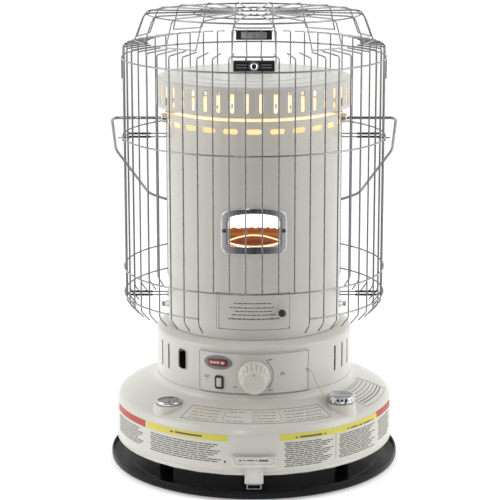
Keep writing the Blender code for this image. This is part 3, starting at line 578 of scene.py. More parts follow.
enamel = surface("ivory_enamel_gloss", (0.6, 0.59, 0.53), 0.3, mottle=0.01, patches=4.0, spread=0.015,
                 grain=520.0, bump=0.05, extra={"Coat Weight": 0.3, "Coat Roughness": 0.14})
lever_enamel = surface("lever_enamel", (0.62, 0.6, 0.55), 0.3, mottle=0.015, extra={"Coat Weight": 0.3})
tray_enamel = surface("black_tray_enamel", (0.004, 0.004, 0.005), 0.34, mottle=0.06, spread=0.03,
                      grain=500.0, bump=0.08, extra={"Specular IOR Level": 0.14})
chrome = surface("polished_chrome", (0.66, 0.66, 0.69), 0.13, 1.0, mottle=0.03, spread=0.04, bump=0.03)
bezel_chrome = surface("satin_bezel_chrome", (0.74, 0.73, 0.77), 0.2, 1.0, mottle=0.01, spread=0.01, bump=0.0)
cap_chrome = surface("cap_chrome", (0.55, 0.56, 0.58), 0.16, 1.0, mottle=0.06, spread=0.06, bump=0.05)
wire_plate = surface("plated_guard_wire", (0.3, 0.3, 0.31), 0.24, 1.0, mottle=0.12, patches=30.0,
                     spread=0.07, grain=900.0, bump=0.1)
bright_steel = surface("bright_steel", (0.5, 0.5, 0.5), 0.32, 1.0, mottle=0.08, spread=0.1,
                       grain=1200.0, stretch=(1.0, 1.0, 0.15))
hot_steel = surface("heat_stained_steel", (0.34, 0.24, 0.17), 0.45, 0.9, mottle=0.25, patches=22.0,
                    spread=0.12)
brass = surface("satin_brass", (0.6, 0.43, 0.2), 0.36, 1.0, mottle=0.1, spread=0.1)
black_plastic = surface("moulded_black_plastic", (0.012, 0.012, 0.013), 0.38, mottle=0.1, spread=0.08,
                        grain=1500.0, bump=0.15)
# Painted highlight: a grey for the black clips' ribs and collars, so that they read as lit.
rib_highlight_grey = surface("painted_highlight_grey_plastic", (0.16, 0.16, 0.16), 0.3, mottle=0.1, spread=0.06, grain=1500.0)
white_plastic = surface("moulded_ivory_plastic", (0.58, 0.57, 0.51), 0.36, mottle=0.015, spread=0.03,
                        grain=1500.0, bump=0.06, extra={"Subsurface Weight": 0.05})
dial_print = surface("dial_lacquer", (0.34, 0.34, 0.31), 0.45, mottle=0.04)
fibre = surface("glass_fibre_wick", (0.7, 0.66, 0.56), 0.95, mottle=0.2, patches=120.0, grain=1600.0,
                bump=0.6, depth=0.0003, stretch=(1.0, 1.0, 0.3))
badge_grey = surface("badge_grey_lacquer", (0.19, 0.19, 0.205), 0.3, mottle=0.08, extra={"Coat Weight": 0.5})
badge_red = surface("badge_red_lacquer", (0.16, 0.022, 0.014), 0.28, mottle=0.12, extra={"Coat Weight": 0.5})
badge_cream = surface("badge_cream_lacquer", (0.62, 0.5, 0.44), 0.35, mottle=0.1)
band_yellow = surface("yellow_band_print", (0.66, 0.58, 0.08), 0.4, mottle=0.06)
band_red = surface("red_band_print", (0.44, 0.048, 0.022), 0.4, mottle=0.08)
grey_print = ink("grey_print", (0.1, 0.1, 0.1))
pale_print = ink("pale_print", (0.12, 0.12, 0.115), 0.25)
red_print = ink("red_print", (0.32, 0.07, 0.04))
# Dark lacquer on small screws and rivets, and painted shade inside the housing and behind the door's gap.
dark_fittings_and_shade = surface("dark_fittings_and_painted_shade", (0.05, 0.05, 0.048), 0.5, mottle=0.2)
cell_jacket = surface("cell_jacket_gloss", (0.05, 0.06, 0.22), 0.28, mottle=0.08)
needle_dark = surface("needle_lacquer", (0.05, 0.05, 0.05), 0.4, mottle=0.06)
glass = surface("clear_pane", (0.96, 0.97, 0.95), 0.04, mottle=0.01, spread=0.02, bump=0.02,
                extra={"Transmission Weight": 1.0, "IOR": 1.2})

# Colours of the painted flame light used by the finishes below.
ORANGE, CREAM, WHITE_HOT = (0.8, 0.36, 0.1), (1.0, 0.8, 0.5), (1.0, 0.97, 0.9)
# Painted light: the flame's light on the inner faces of the drum and hood, dark low down, then orange, cream,
# and orange again at the top.
inner_flame_light = glowing("painted_flame_light_inner_wall", (0.42, 0.38, 0.3), 0.42, 0.64,
                      [(0.0, (0.012, 0.006, 0.003)), (0.3, (0.1, 0.045, 0.016)), (0.52, ORANGE),
                       (0.68, CREAM), (0.92, CREAM), (1.0, ORANGE)], 1.05, ripple=0.1, patches=26.0)
# The flame cylinder: white where the flame burns, and below it painted light, dim orange bands where the
# flame's light falls on the burner.
flame_glow = glowing("glowing_flame_cylinder", (0.24, 0.15, 0.1), 0.36, 0.42,
                     [(0.0, (0.03, 0.004, 0.002)), (0.2, (0.055, 0.007, 0.003)),
                      (0.3, (0.09, 0.014, 0.004)), (0.38, (0.045, 0.007, 0.003)),
                      (0.46, (0.11, 0.026, 0.006)), (0.53, (0.05, 0.01, 0.003)),
                      (0.6, (0.17, 0.05, 0.01)), (0.67, (0.06, 0.014, 0.004)),
                      (0.73, (0.11, 0.028, 0.006)), (0.77, (0.075, 0.02, 0.006)),
                      (0.785, (0.95, 0.72, 0.5)), (0.83, WHITE_HOT)],
                     2.4, bow=2.5, ripple=0.16, patches=110.0)
# Painted light on the hood's bracket: cream where the flame's light falls on it, going dark above as painted
# shade.
bracket_flame_light = glowing("painted_flame_light_bracket", (0.4, 0.34, 0.26), 0.5835, 0.59,
                       [(0.0, CREAM), (0.6, CREAM), (0.8, (0.45, 0.22, 0.08)), (1.0, (0.1, 0.05, 0.02))],
                       1.1, ripple=0.2)
# Painted reflections: the bright arcs on the burner seen through the window.
rim_reflection_glow = glowing("painted_rim_reflection", (0.6, 0.4, 0.3), 0.3, 0.5,
                    [(0.0, (1.0, 0.62, 0.32)), (1.0, (1.0, 0.8, 0.6))], 1.5, ripple=0.6, patches=35.0)

FINISH_OF_SLOT = {
    "enamel": enamel, "tray_enamel": tray_enamel, "chrome": chrome, "guard_wire": wire_plate,
    "steel": bright_steel, "hot_steel": hot_steel, "brass": brass, "black_plastic": black_plastic,
    "white_plastic": white_plastic, "pane": glass, "fibre": fibre, "badge": badge_grey,
    "cell_jacket": cell_jacket, "needle": needle_dark,
}


def finish_cad_nodes():
    """Every CAD node gets the detailed finish of its material slot. The hood's bracket gets painted light
    from the flame.
    """
    for name, slot in SLOT_OF_NODE.items():
        for place in frame["nodes"][name].material_slots:
            place.material = bracket_flame_light if name == "hood_bracket" else FINISH_OF_SLOT[slot]


# ---------------------------------------------------------------- tray and tank

def make_tray():
    floor_r = 0.219
    outline = [
        (0, 0.0001), (floor_r, 0.0001), (TRAY_R - 0.002, 0.004), (TRAY_R, 0.0075), (TRAY_R, 0.015),
        (TRAY_R - 0.0012, 0.018), (TRAY_R - 0.0034, 0.0176), (TRAY_R - 0.004, 0.015),
        (TRAY_R - 0.0036, 0.0095), (floor_r + 0.002, 0.004), (0.206, 0.0036), (0.2035, 0.0025), (0, 0.0025),
    ]
    shown("tray", turned(soft(outline, 0.0016)), tray_enamel, "drip_tray")


def tank_path():
    """The outer line of the tank's shell, from its bottom seam up to its flat top."""
    seam = [(0.2258, 0.0405), (0.2274, 0.0415), (0.228, 0.043), (0.2274, 0.0446), (0.2264, 0.0458),
            (0.2264, 0.0475)]
    crown = smooth_route([(0.2276, 0.09), (0.2276, 0.099), (0.2262, 0.108), (0.2195, 0.118),
                          (0.198, 0.128), (0.178, 0.1345), (0.168, 0.1385)], 6)
    neck = [(0.164, 0.141), (0.162, 0.1455), (0.161, 0.151), (0.07, 0.151)]
    wall = [(0.2276, 0.049)] + [tuple(point) for point in crown] + soft(neck, 0.0016, closed=False)
    return seam, wall


TANK_SEAM, TANK_WALL = tank_path()


def tank_radius(z):
    """The radius of the tank's outer face at a height on its wall or crown."""
    for (near_r, near_z), (far_r, far_z) in zip(TANK_WALL, TANK_WALL[1:]):
        if near_z <= z <= far_z:
            return near_r + (far_r - near_r) * (z - near_z) / (far_z - near_z)
    return TANK_R


def tank_patch(start, end, low, high, lift=0.00025, rise=0.0):
    """A thin print on the tank that follows its wall. rise is the height gained from start to end."""
    levels = [low + (high - low) * step / 6 for step in range(7)]
    outline = [(tank_radius(z) + lift, z + lift * 0.6) for z in levels]
    outline += [(tank_radius(z) - 0.0003, z - 0.0003) for z in levels[::-1]]
    shape = arc_solid(outline, start, end, max(1, round(abs(end - start) / 2)))
    for vert in shape.verts:
        share = (degrees(atan2(vert.co.x, -vert.co.y)) - start) / (end - start)
        vert.co.z += rise * share
    return shape


def text_rows(start, end, low, high, rows, seed):
    """Rows of grey dashes, like lines of small print with no letters in them."""
    dashes = []
    for row in range(rows):
        z = high - (high - low) * (row + 0.5) / rows
        left = start + 0.4 * ((row * 7 + seed) % 3)
        right = end - 1.5 * ((row * 5 + seed) % 4)
        for near, far in word_spans(left, right, 1.2, 0.9, 0.4, 5, row * 3 + seed):
            dashes.append(tank_patch(near, far, z - 0.0008, z + 0.0008, 0.0002))
    return joined(*dashes)


def sector_line(corners, radius=0.00035):
    """A printed line on the crown of the tank, through (azimuth, z) corners."""
    lift = 0.0001
    path = []
    for (azimuth, z), (next_azimuth, next_z) in zip(corners, corners[1:] + corners[-1:]):
        steps = max(1, round(max(abs(next_azimuth - azimuth) / 2, abs(next_z - z) / 0.002)))
        for step in range(steps):
            t = step / steps
            level, turn = z + (next_z - z) * t, azimuth + (next_azimuth - azimuth) * t
            path.append(polar(tank_radius(level) + lift, turn, level + lift))
    return wire(path, radius, 6)


def make_tank():
    holes = [placed(prism(circle(radius), 0.03), moved(centre.x, centre.y, 0.13, 90, "X"))
             for centre, radius in ((GAUGE, 0.0204), (CAP, 0.0188))]
    shell = cut(turned(sheet_outline(TANK_SEAM + TANK_WALL)), *holes)
    shown("tank_shell", shell, enamel, "fuel_tank", walls=True)
    yellow = [tank_patch(-48.6, -10.5, 0.0948, 0.1046), tank_patch(10.2, 34.4, 0.0962, 0.106),
              tank_patch(34.7, 59.9, 0.0962, 0.106, rise=0.002)]
    shown("tank_band_yellow", joined(*yellow), band_yellow)
    red = [tank_patch(-76.0, -49.5, 0.0938, 0.1046), tank_patch(60.2, 78.0, 0.0984, 0.108)]
    shown("tank_band_red", joined(*red), band_red)
    blocks = ((-46.5, -13.0, 0.059, 0.09, 9), (-75.0, -50.5, 0.06, 0.09, 9),
              (12.0, 33.4, 0.052, 0.093, 13), (36.0, 58.5, 0.054, 0.094, 13), (61.5, 78.0, 0.058, 0.095, 11))
    rows = [text_rows(*block, seed) for seed, block in enumerate(blocks, 1)]
    shown("tank_small_print", joined(*rows), pale_print)
    shown("tank_print_divider", tank_patch(34.45, 34.6, 0.054, 0.096, 0.0002), grey_print)
    make_crown_print()
    screw = turned([(0, 0), (0.0017, 0), (0.0016, 0.0006), (0.0009, 0.001), (0, 0.0011)], 24)
    shown("tank_front_screw", placed(screw, outwards(-11.5, TANK_R, 0.0617)), dark_fittings_and_shade)
    words = []
    for start, widths in ((-35.5, (1.6, 12.0)), (16.5, (1.0, 9.5, 1.0)), (40.5, (0.9, 4.0, 1.8, 5.5, 0.9))):
        for width in widths:
            words.append(tank_patch(start, start + width, 0.0984, 0.1012 if width > 8 else 0.1006, 0.0005))
            start += width + 0.9
    shown("band_words", joined(*words), grey_print)


def make_crown_print():
    """Outlined sectors on the crown, in front of the housing and to its right, filled with small marks."""
    low, high = 0.1207, 0.133
    left, right = -32.5, 34.5
    lines = [sector_line([(left + 1, high), (right - 1, high), (right, low), (left, low), (left + 1, high)])]
    for azimuth in (-13.5, 12.0):
        lines.append(sector_line([(azimuth, high - 0.0015), (azimuth, low + 0.0015)], 0.0002))
    shown("crown_outline", joined(*lines), grey_print)

    def block(start, end, rows, seed):
        dashes = []
        for row in range(rows):
            z = high - 0.0022 - (high - low - 0.0042) * row / (rows - 1)
            for near, far in word_spans(start, end, 1.6, 0.8, 0.7, 3, row + seed):
                dashes.append(sector_line([(near, z), (far, z)], 0.0004))
        return joined(*dashes)

    shown("crown_print_red", joined(block(-29.5, -16.0, 4, 1), block(-1.0, 10.5, 4, 2)), red_print)
    shown("crown_print_grey", joined(block(-12.0, -4.5, 3, 3), block(14.0, 32.5, 4, 4)), grey_print)
    frame_line = [(53.0, 0.1372), (84.0, 0.1372), (84.0, 0.1195), (56.0, 0.1195), (53.0, 0.1372)]
    marks = [sector_line(frame_line, 0.0003)]
    for row in range(7):
        z = 0.1358 - 0.0021 * row
        for near, far in word_spans(54.5 + 0.4 * row, 83.0, 1.4, 0.9, 0.7, 3, row):
            marks.append(sector_line([(near, z), (far, z)], 0.0005 if row < 5 else 0.0008))
    shown("crown_outline_right", joined(*marks), grey_print)


# ---------------------------------------------------------------- housing and panel

def make_housing():
    path = [(HOUSING_R, bottom("burner_housing")), (HOUSING_R, 0.2235), (0.159, 0.227), (0.156, 0.2297),
            (0.15, 0.2325), (0.1435, 0.2343), (0.11, 0.2343)]
    openings = [(pill(0.0045, 0.0425), azimuth, HOUSING_SLOT_Z) for azimuth in HOUSING_SLOT_AZIMUTHS]
    openings += [(rounded_box(0.018, 0.033, 0.006), HOUSING_HOLE_AZIMUTH, HOUSING_HOLE_Z),
                 (circle(SHAFT_HOLE_R), 0, KNOB_Z), (rounded_box(*BUTTON_HOLE), BUTTON_AZIMUTH, BUTTON_Z)]
    cutters = [placed(prism(outline, 0.012), facing(azimuth, HOUSING_R, z))
               for outline, azimuth, z in openings]
    # The housing's inner faces are painted dark: painted shade seen through its slots and holes.
    shell = cut(line_inside(turned(sheet_outline(soft(path, 0.003, closed=False)))), *cutters)
    shown("housing_shell", shell, [enamel, dark_fittings_and_shade], "burner_housing", walls=True)
    rim = plate([rounded_box(0.0205, 0.0355, 0.007), rounded_box(0.0176, 0.0326, 0.0058)], 0.0008, 0.0003)
    place = facing(HOUSING_HOLE_AZIMUTH, HOUSING_R + 0.0002, HOUSING_HOLE_Z)
    shown("housing_hole_rim", placed(rim, place), enamel)


def make_panel():
    low, high = bottom("control_panel"), top("control_panel")
    centre, height = (low + high) / 2, high - low
    width = 2 * radians(PANEL_AZIMUTH) * PANEL_OUT
    knob_z = KNOB_Z - centre

    def at(azimuth, z):
        return radians(azimuth) * PANEL_OUT, z - centre

    along, up = at(BUTTON_AZIMUTH, BUTTON_Z)
    holes = [circle(SHAFT_HOLE_R, z=knob_z), rounded_box(*BUTTON_HOLE, x=along, z=up)]
    face = plate([rounded_box(width, height, 0.0015), *holes], PANEL_OUT - PANEL_BACK, 0.0005)
    shown("panel_plate", bent(face, PANEL_BACK, 0, centre), enamel, "control_panel", walls=True)
    border = plate([rounded_box(width - 0.002, height - 0.002, 0.002),
                    rounded_box(width - 0.0032, height - 0.0032, 0.0018)], 0.0003)
    shown("panel_border", bent(border, PANEL_OUT, 0, centre), pale_print)

    # The knob's range: an arc of 79 degrees with an arrow head at either end.
    radius, half_width, first, last = 0.0305, 0.0004, 43, -36
    angles = [radians(first + (last - first) * step / 20) for step in range(21)]
    outer, inner = radius + half_width, radius - half_width
    ribbon = [(outer * cos(a), knob_z + outer * sin(a)) for a in angles]
    ribbon += [(inner * cos(a), knob_z + inner * sin(a)) for a in angles[::-1]]
    marks = [ribbon]
    for angle, forward in ((radians(first), 1), (radians(last), -1)):
        out = Vector((cos(angle), sin(angle)))
        on = Vector((-out.y, out.x)) * forward
        tip = Vector((0, knob_z)) + out * radius
        marks.append([tuple(tip + on * 0.003), tuple(tip + out * 0.0014), tuple(tip - out * 0.0014)])
    bars = ((-27.3, 0.179, 0.0085, 0), (-27.3, 0.1762, 0.007, 0), (-10.5, 0.1635, 0.006, 0),
            (8.6, 0.2086, 0.0105, 0.18), (16.0, 0.1864, 0.006, 0.05), (16.2, 0.1836, 0.0085, 0.05),
            (9.3, 0.1591, 0.008, 0.03))
    for azimuth, z, length, slope in bars:
        marks.append(dash(*at(azimuth, z), length, 0.0011, slope))
    x, z = at(-27.3, 0.1722)
    marks.append([(x - 0.0011, z + 0.001), (x, z - 0.001), (x + 0.0011, z + 0.001)])
    shown("panel_marks", bent(plate(marks, 0.00025), PANEL_OUT, 0, centre), grey_print)


def make_badge():
    z = middle("badge_plate").z
    lift = PANEL_OUT + 0.0003
    oval = plate([ellipse(0.0235, 0.0115)], 0.0011, 0.0005)
    shown("badge_oval", bent(oval, lift, BADGE_AZIMUTH, z), badge_grey, "badge_plate", walls=True)
    inlay = plate([rounded_box(0.0345, 0.0125, 0.005)], 0.0005, 0.0002)
    shown("badge_inlay", bent(inlay, lift + 0.001, BADGE_AZIMUTH, z), badge_red)
    bars = ((0.005, -0.0105), (0.0046, -0.005), (0.005, 0.0006), (0.0066, 0.0084))
    words = plate([pill(width, 0.0042, x) for width, x in bars], 0.0003)
    shown("badge_bars", bent(words, lift + 0.0014, BADGE_AZIMUTH, z), badge_cream)


def make_button():
    z = middle("button_surround").z
    ring = plate([rounded_box(0.0146, 0.022, 0.0035), rounded_box(*BUTTON_HOLE)], 0.0018, 0.0006)
    shown("button_bezel", bent(ring, PANEL_OUT + 0.0003, BUTTON_AZIMUTH, z), black_plastic, "button_surround")
    button = plate([rounded_box(0.0084, 0.0144, 0.0018)], 0.0155, 0.0009)
    parts = [placed(button, facing(BUTTON_AZIMUTH, 0.15, z))]
    for step in (-1, 0, 1):
        bump = plate([pill(0.005, 0.0011)], 0.0006, 0.0002)
        parts.append(placed(bump, facing(BUTTON_AZIMUTH, 0.1653, z + step * 0.0026)))
    shown("button_cap", joined(*parts), white_plastic, "shutoff_button", "shutoff_button")


def make_knob():
    back, front = -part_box("wick_knob")[1].y, -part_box("wick_knob")[0].y
    skirt, face, bore, bore_end = 0.0252, 0.0188, 0.0033, back + 0.0245
    flutes, segments = 18, 234
    outline = [
        (bore, back), (skirt - 0.001, back), (skirt, back + 0.001), (skirt, back + 0.004),
        (skirt - 0.001, back + 0.0054), (0.0226, back + 0.0064), (0.0222, back + 0.008, 0.0022),
        (0.0212, back + 0.018, 0.0022), (0.02, front - 0.006, 0.002), (0.0196, front - 0.0034, 0.0012),
        (face, front - 0.0014), (face - 0.0012, front - 0.0003), (face - 0.0024, front),
        (0.006, front - 0.0004), (0, front - 0.0005), (0, bore_end), (bore, bore_end),
    ]
    knob = placed(turned(outline, segments, flutes), moved(z=KNOB_Z, turn=90, axis="X"))
    shown("knob_body", knob, white_plastic, "wick_knob", "wick_knob", sharp=50)
    pointer = placed(plate([pill(0.0012, 0.0042)], 0.0006, 0.0002), moved(0, -front + 0.0004, KNOB_Z + 0.013))
    shown("knob_pointer", pointer, pale_print, body="wick_knob")


# ---------------------------------------------------------------- burner and drum

def make_burner():
    base, high = bottom("outer_flame_cylinder"), top("outer_flame_cylinder")
    foot, inner = 0.054, FLAME_R - SHEET
    outline = [(foot, base), (FLAME_R - 0.002, base), (FLAME_R, base + 0.002), (FLAME_R, high), (inner, high),
               (inner, base + 0.0026), (FLAME_R - 0.0026, base + SHEET), (foot, base + SHEET)]
    shown("flame_cylinder", turned(outline, 96), flame_glow, "outer_flame_cylinder", walls=True)
    # Two bright arcs on the burner: painted reflections, drawn as glowing wires.
    reflection_arcs = bmesh.new()
    for centre, curve, thick in ((0.389, -7.0, 0.0011), (0.37, 2.1, 0.0015)):
        path = []
        for step in range(33):
            x = -0.046 + 0.092 * step / 32
            path.append((x, -sqrt((FLAME_R + 0.0006) ** 2 - x * x), centre + curve * x * x))
        sweep(reflection_arcs, path, thick, 8)
    shown("flame_rim_reflections", reflection_arcs, rim_reflection_glow)


def make_drum():
    low, high = bottom("heat_drum"), top("heat_drum")
    inner = DRUM_R - SHEET
    edge = 0.0004
    wall = turned([(inner, low), (DRUM_R - edge, low), (DRUM_R, low + edge), (DRUM_R, high - edge),
                   (DRUM_R - edge, high), (inner, high)], 288)
    # The inner faces take the second finish, painted flame light.
    for face in wall.faces:
        face.material_index = 1 if face.calc_center_median().xy.length < inner + 0.0001 else 0
    slots = []
    for slot in range(DRUM_SLOTS):
        if slot % (DRUM_SLOTS // 4) or slot in (0, DRUM_SLOTS // 2):
            place = facing(360 * slot / DRUM_SLOTS, DRUM_R, DRUM_SLOT_Z)
            slots.append(placed(prism(pill(0.0236, 0.008), 0.008), place))

    def opening(low_z, high_z, start, end, steps):
        inside, outside = 0.12, 0.16
        outline = [(inside, low_z), (outside, low_z), (outside, high_z), (inside, high_z)]
        return arc_solid(outline, start, end, steps)

    window_azimuth, gap = 17.6, 0.0007
    window = opening(0.382, 0.441, -window_azimuth, window_azimuth, 4)
    doorway = opening(bottom("lighter_door") - gap, top("lighter_door") + gap,
                      HINGE_AZIMUTH - 1.1, DOOR_AZIMUTHS[1] + 0.4, 8)
    shell = cut(wall, window, doorway, *slots)
    shown("drum_shell", shell, [enamel, inner_flame_light], "heat_drum", walls=True)
    for side, name in SIDES:
        knob = [(0, 0), (0.0075, 0), (0.0062, 0.002), (0.0042, 0.004), (0.0036, 0.006), (0.0044, 0.0072),
                (0.0044, 0.01), (0.003, 0.0112), (0, 0.0114)]
        place = outwards(90 * side, DRUM_R, 0.259)
        shown(f"drum_foot_screw_{name}", placed(turned(knob, 32), place), bright_steel)
    back, out = DRUM_R - 0.0002, DRUM_R + 0.0007
    seam = [(back, low + 0.001), (out, low + 0.001), (out, high - 0.001), (back, high - 0.001)]
    shown("drum_seam", arc_solid(seam, 179.0, 181.6, 2), enamel)


def make_window():
    outer = [(0.0522, -0.0372), (0.0522, 0.0262), (0.043, 0.0318), (0.03, 0.0348), (0.015, 0.0366),
             (0, 0.0372)]
    inner = [(0.0405, -0.0241), (0.0405, 0.0205), (0.029, 0.0246), (0.015, 0.0272), (0, 0.028)]
    ring = plate([soft(mirrored(outer), 0.015, 8), soft(mirrored(inner), 0.008, 6)], 0.0026, 0.0012)
    bezel = bent(ring, DRUM_R + 0.0004, 0, WINDOW_Z)
    shown("window_bezel", bezel, bezel_chrome, "window_frame", sharp=60)
    pane = bent(plate([rounded_box(0.09, 0.069, 0.006)], 0.001, 0.0002), 0.1374, 0, middle("window_pane").z)
    shown("window_glass", pane, glass, "window_pane", walls=True)
    for side, name in SIDES:
        head = [(0, 0), (0.0034, 0), (0.0034, 0.0006), (0.0026, 0.0013), (0.0012, 0.0015), (0.001, 0.0008),
                (0, 0.0008)]
        rivet = placed(turned(head, 32), outwards(18.9 * side, DRUM_R + 0.0029, WINDOW_Z))
        shown(f"window_rivet_{name}", rivet, dark_fittings_and_shade, f"window_screw_{name}")


def make_hood():
    low = bottom("hood")
    path = [(HOOD_R, low), (HOOD_R, 0.633), (0.156, 0.6368), (0.152, 0.6388), (0.135, 0.6388),
            (0.133, 0.6402), (0.1, 0.6402), (0.098, 0.6416), (0.04, 0.6416)]
    outline = sheet_outline(soft(path, 0.003, closed=False))
    half = len(outline) // 2
    outline[half:half] = [(0, outline[half - 1][1]), (0, outline[half][1])]
    # Faces that look inwards or down take painted flame light.
    shell = line_inside(turned(outline, 4 * HOOD_SLOTS), low + 0.0001)
    slots = []
    for slot in range(HOOD_SLOTS):
        place = facing((slot + 0.5) * 360 / HOOD_SLOTS, HOOD_R, HOOD_SLOT_Z)
        slots.append(placed(prism(pill(0.0062, 0.0322), 0.008), place))
    shown("hood_shell", cut(shell, *slots), [enamel, inner_flame_light], "hood", walls=True)


def make_door():
    low, high = bottom("lighter_door"), top("lighter_door")
    start, end = (radians(azimuth) * DRUM_R for azimuth in DOOR_AZIMUTHS)
    centre, inside = (low + high) / 2, DRUM_R - SHEET
    knob_z = middle("door_knob").z
    outline = rounded_box(end - start, high - low, 0.0035, 5, (start + end) / 2)
    leaf = bent(plate([outline], SHEET, 0.0004), inside, 0, centre)
    axis = polar(HINGE_R, HINGE_AZIMUTH)
    barrel = wire([(axis.x, axis.y, low + 0.0004), (axis.x, axis.y, high - 0.0004)], 0.0021, 20)
    shown("door_leaf", joined(leaf, barrel), enamel, "lighter_door", "lighter_door", walls=True)

    # A dark sheet behind the three edges that the hinge leaves free: painted shade in the door's gap.
    near, far, rim, width = start + 0.005, end + 0.004, (high - low) / 2 + 0.004, 0.007
    shade_sheet = [(near, -rim), (far, -rim), (far, rim), (near, rim), (near, rim - width),
            (far - width, rim - width), (far - width, width - rim), (near, width - rim)]
    shown("doorway_shade", bent(plate([shade_sheet], 0.0008, 0.0002), inside - 0.0009, 0, centre), dark_fittings_and_shade)

    marks = []
    lines = ((0.057, 0.015), (0.071, 0.0078), (0.053, 0.002), (0.064, -0.0038), (0.076, -0.0104))
    slack, shift = 0.01, -0.0035
    for row, (length, z) in enumerate(lines):
        left, right = shift - length / 2, shift + length / 2
        for near, far in word_spans(left, right + slack, 0.0036, 0.0017, 0.0014, 3, row, slack):
            marks.append(dash((near + far) / 2, z, far - near, 0.002 if row == 4 else 0.0015))
    shown("door_marks", bent(plate(marks, 0.0002), DRUM_R, 0, knob_z), pale_print, body="lighter_door")

    knob = [(0, 0), (0.0024, 0), (0.0022, 0.0036)]
    for angle in range(-60, 90, 15):
        knob.append((0.0062 * cos(radians(angle)), 0.0088 + 0.0052 * sin(radians(angle))))
    knob.append((0, 0.014))
    pull = placed(turned(knob, 40), outwards(DOOR_KNOB_AZIMUTH, DRUM_R + 0.0004, knob_z))
    shown("door_pull", pull, black_plastic, "door_knob", "lighter_door")


# ---------------------------------------------------------------- guard

def make_guard():
    pitch = 360 / GUARD_WIRES
    edge, hooked = 89.2, ((GUARD_RINGS[3], 0.036), (GUARD_RINGS[2], 0.011), (GUARD_RINGS[1], 0.009))
    for name, centre in (("front", 0.0), ("rear", 180.0)):
        front = name == "front"
        shape = bmesh.new()
        for strand in range(GUARD_WIRES // 2):
            azimuth = centre + (strand - (GUARD_WIRES // 2 - 1) / 2) * pitch
            line = [(0.195, 0.2575), (GUARD_R, 0.2735), (GUARD_R, 0.6875), (0.17, 0.6915)]
            if front and abs(azimuth) < DOOR_GAP:
                line = [(GUARD_R, GUARD_RINGS[1] - 0.0008)] + line[2:]
            sweep(shape, rounded([polar(radius, azimuth, z) for radius, z in line], 0.004), WIRE_R)
        for level, z in enumerate(GUARD_RINGS):
            arcs = [(-edge, edge)]
            if level == 0 and front:
                arcs = [(-edge, -DOOR_GAP - 0.2), (DOOR_GAP + 0.2, edge)]
            for start, end in arcs:
                hoop(shape, RING_AT, z, RING_R, centre + start, centre + end)
        for side in (-1, 1) if front else ():
            for z, drop in hooked:
                corners = ((88.6, z), (90.4, z), (90.4, z - drop))
                hook = [polar(RING_AT, azimuth * side, level) for azimuth, level in corners]
                sweep(shape, rounded(hook, 0.0022), RING_R)
        shown(f"{name}_guard_wires", shape, wire_plate, f"{name}_guard", sharp=60)


def make_top_guard():
    z = top("top_guard") - WIRE_R
    shape = bmesh.new()
    for radius in TOP_RINGS:
        hoop(shape, radius, z - 2 * WIRE_R, WIRE_R * 1.15)
    for petal in range(PETALS):
        foot = [(0.1775, z - 0.0049, 0.0285), (0.191, 0.699, 0.029), (0.1918, 0.6966, 0.029)]
        if petal % (PETALS // 2) == 0:
            foot = [(0.179, z - 0.0049, 0.031), (0.2095, 0.6975, 0.033), (0.2105, 0.6915, 0.033)]
        line = [(TOP_RINGS[0] - 0.001, z, 0.0045), (TOP_RINGS[1], z, 0.017), (TOP_RINGS[2], z, 0.0275)] + foot
        right = [Vector((across, -sqrt(r * r - across * across), level)) for r, level, across in line]
        left = [Vector((-point.x, point.y, point.z)) for point in right]
        turn = moved(turn=petal * 360 / PETALS)
        sweep(shape, rounded([turn @ point for point in right + left[::-1]], 0.006, 5), WIRE_R)
    shown("top_guard_wires", shape, wire_plate, "top_guard", sharp=60)


def make_supports():
    half = 0.0027
    for side, side_name in SIDES:
        for level, level_name in ((0.5402, "upper"), (0.277, "lower")):
            name = f"{level_name}_{side_name}"
            start, end = side * (DRUM_R + 0.0016), side * 0.2055
            low, high = level - half, level + half
            hairpin = [(start, 0, high), (end, 0, high), (end, 0, low), (start, 0, low)]
            shape = wire(rounded(hairpin, 0.0024, 5), 0.0011)
            if level_name == "upper":
                sweep(shape, [(side * 0.2, 0, low - 0.0016), (side * 0.22, 0, low - 0.0016)], 0.0012)
            shown(f"support_{name}", shape, wire_plate, f"guard_support_{name}")
            sleeve = bmesh.new()
            for z in (low, high):
                sweep(sleeve, [(side * 0.167, 0, z), (side * 0.202, 0, z)], 0.0018, 14)
            shown(f"support_sleeve_{name}", sleeve, black_plastic)
            foot = turned([(0, 0), (0.007, 0), (0.0066, 0.0012), (0.003, 0.002), (0, 0.002)], 32)
            shown(f"support_foot_{name}", placed(foot, outwards(90 * side, DRUM_R, level)), bright_steel)


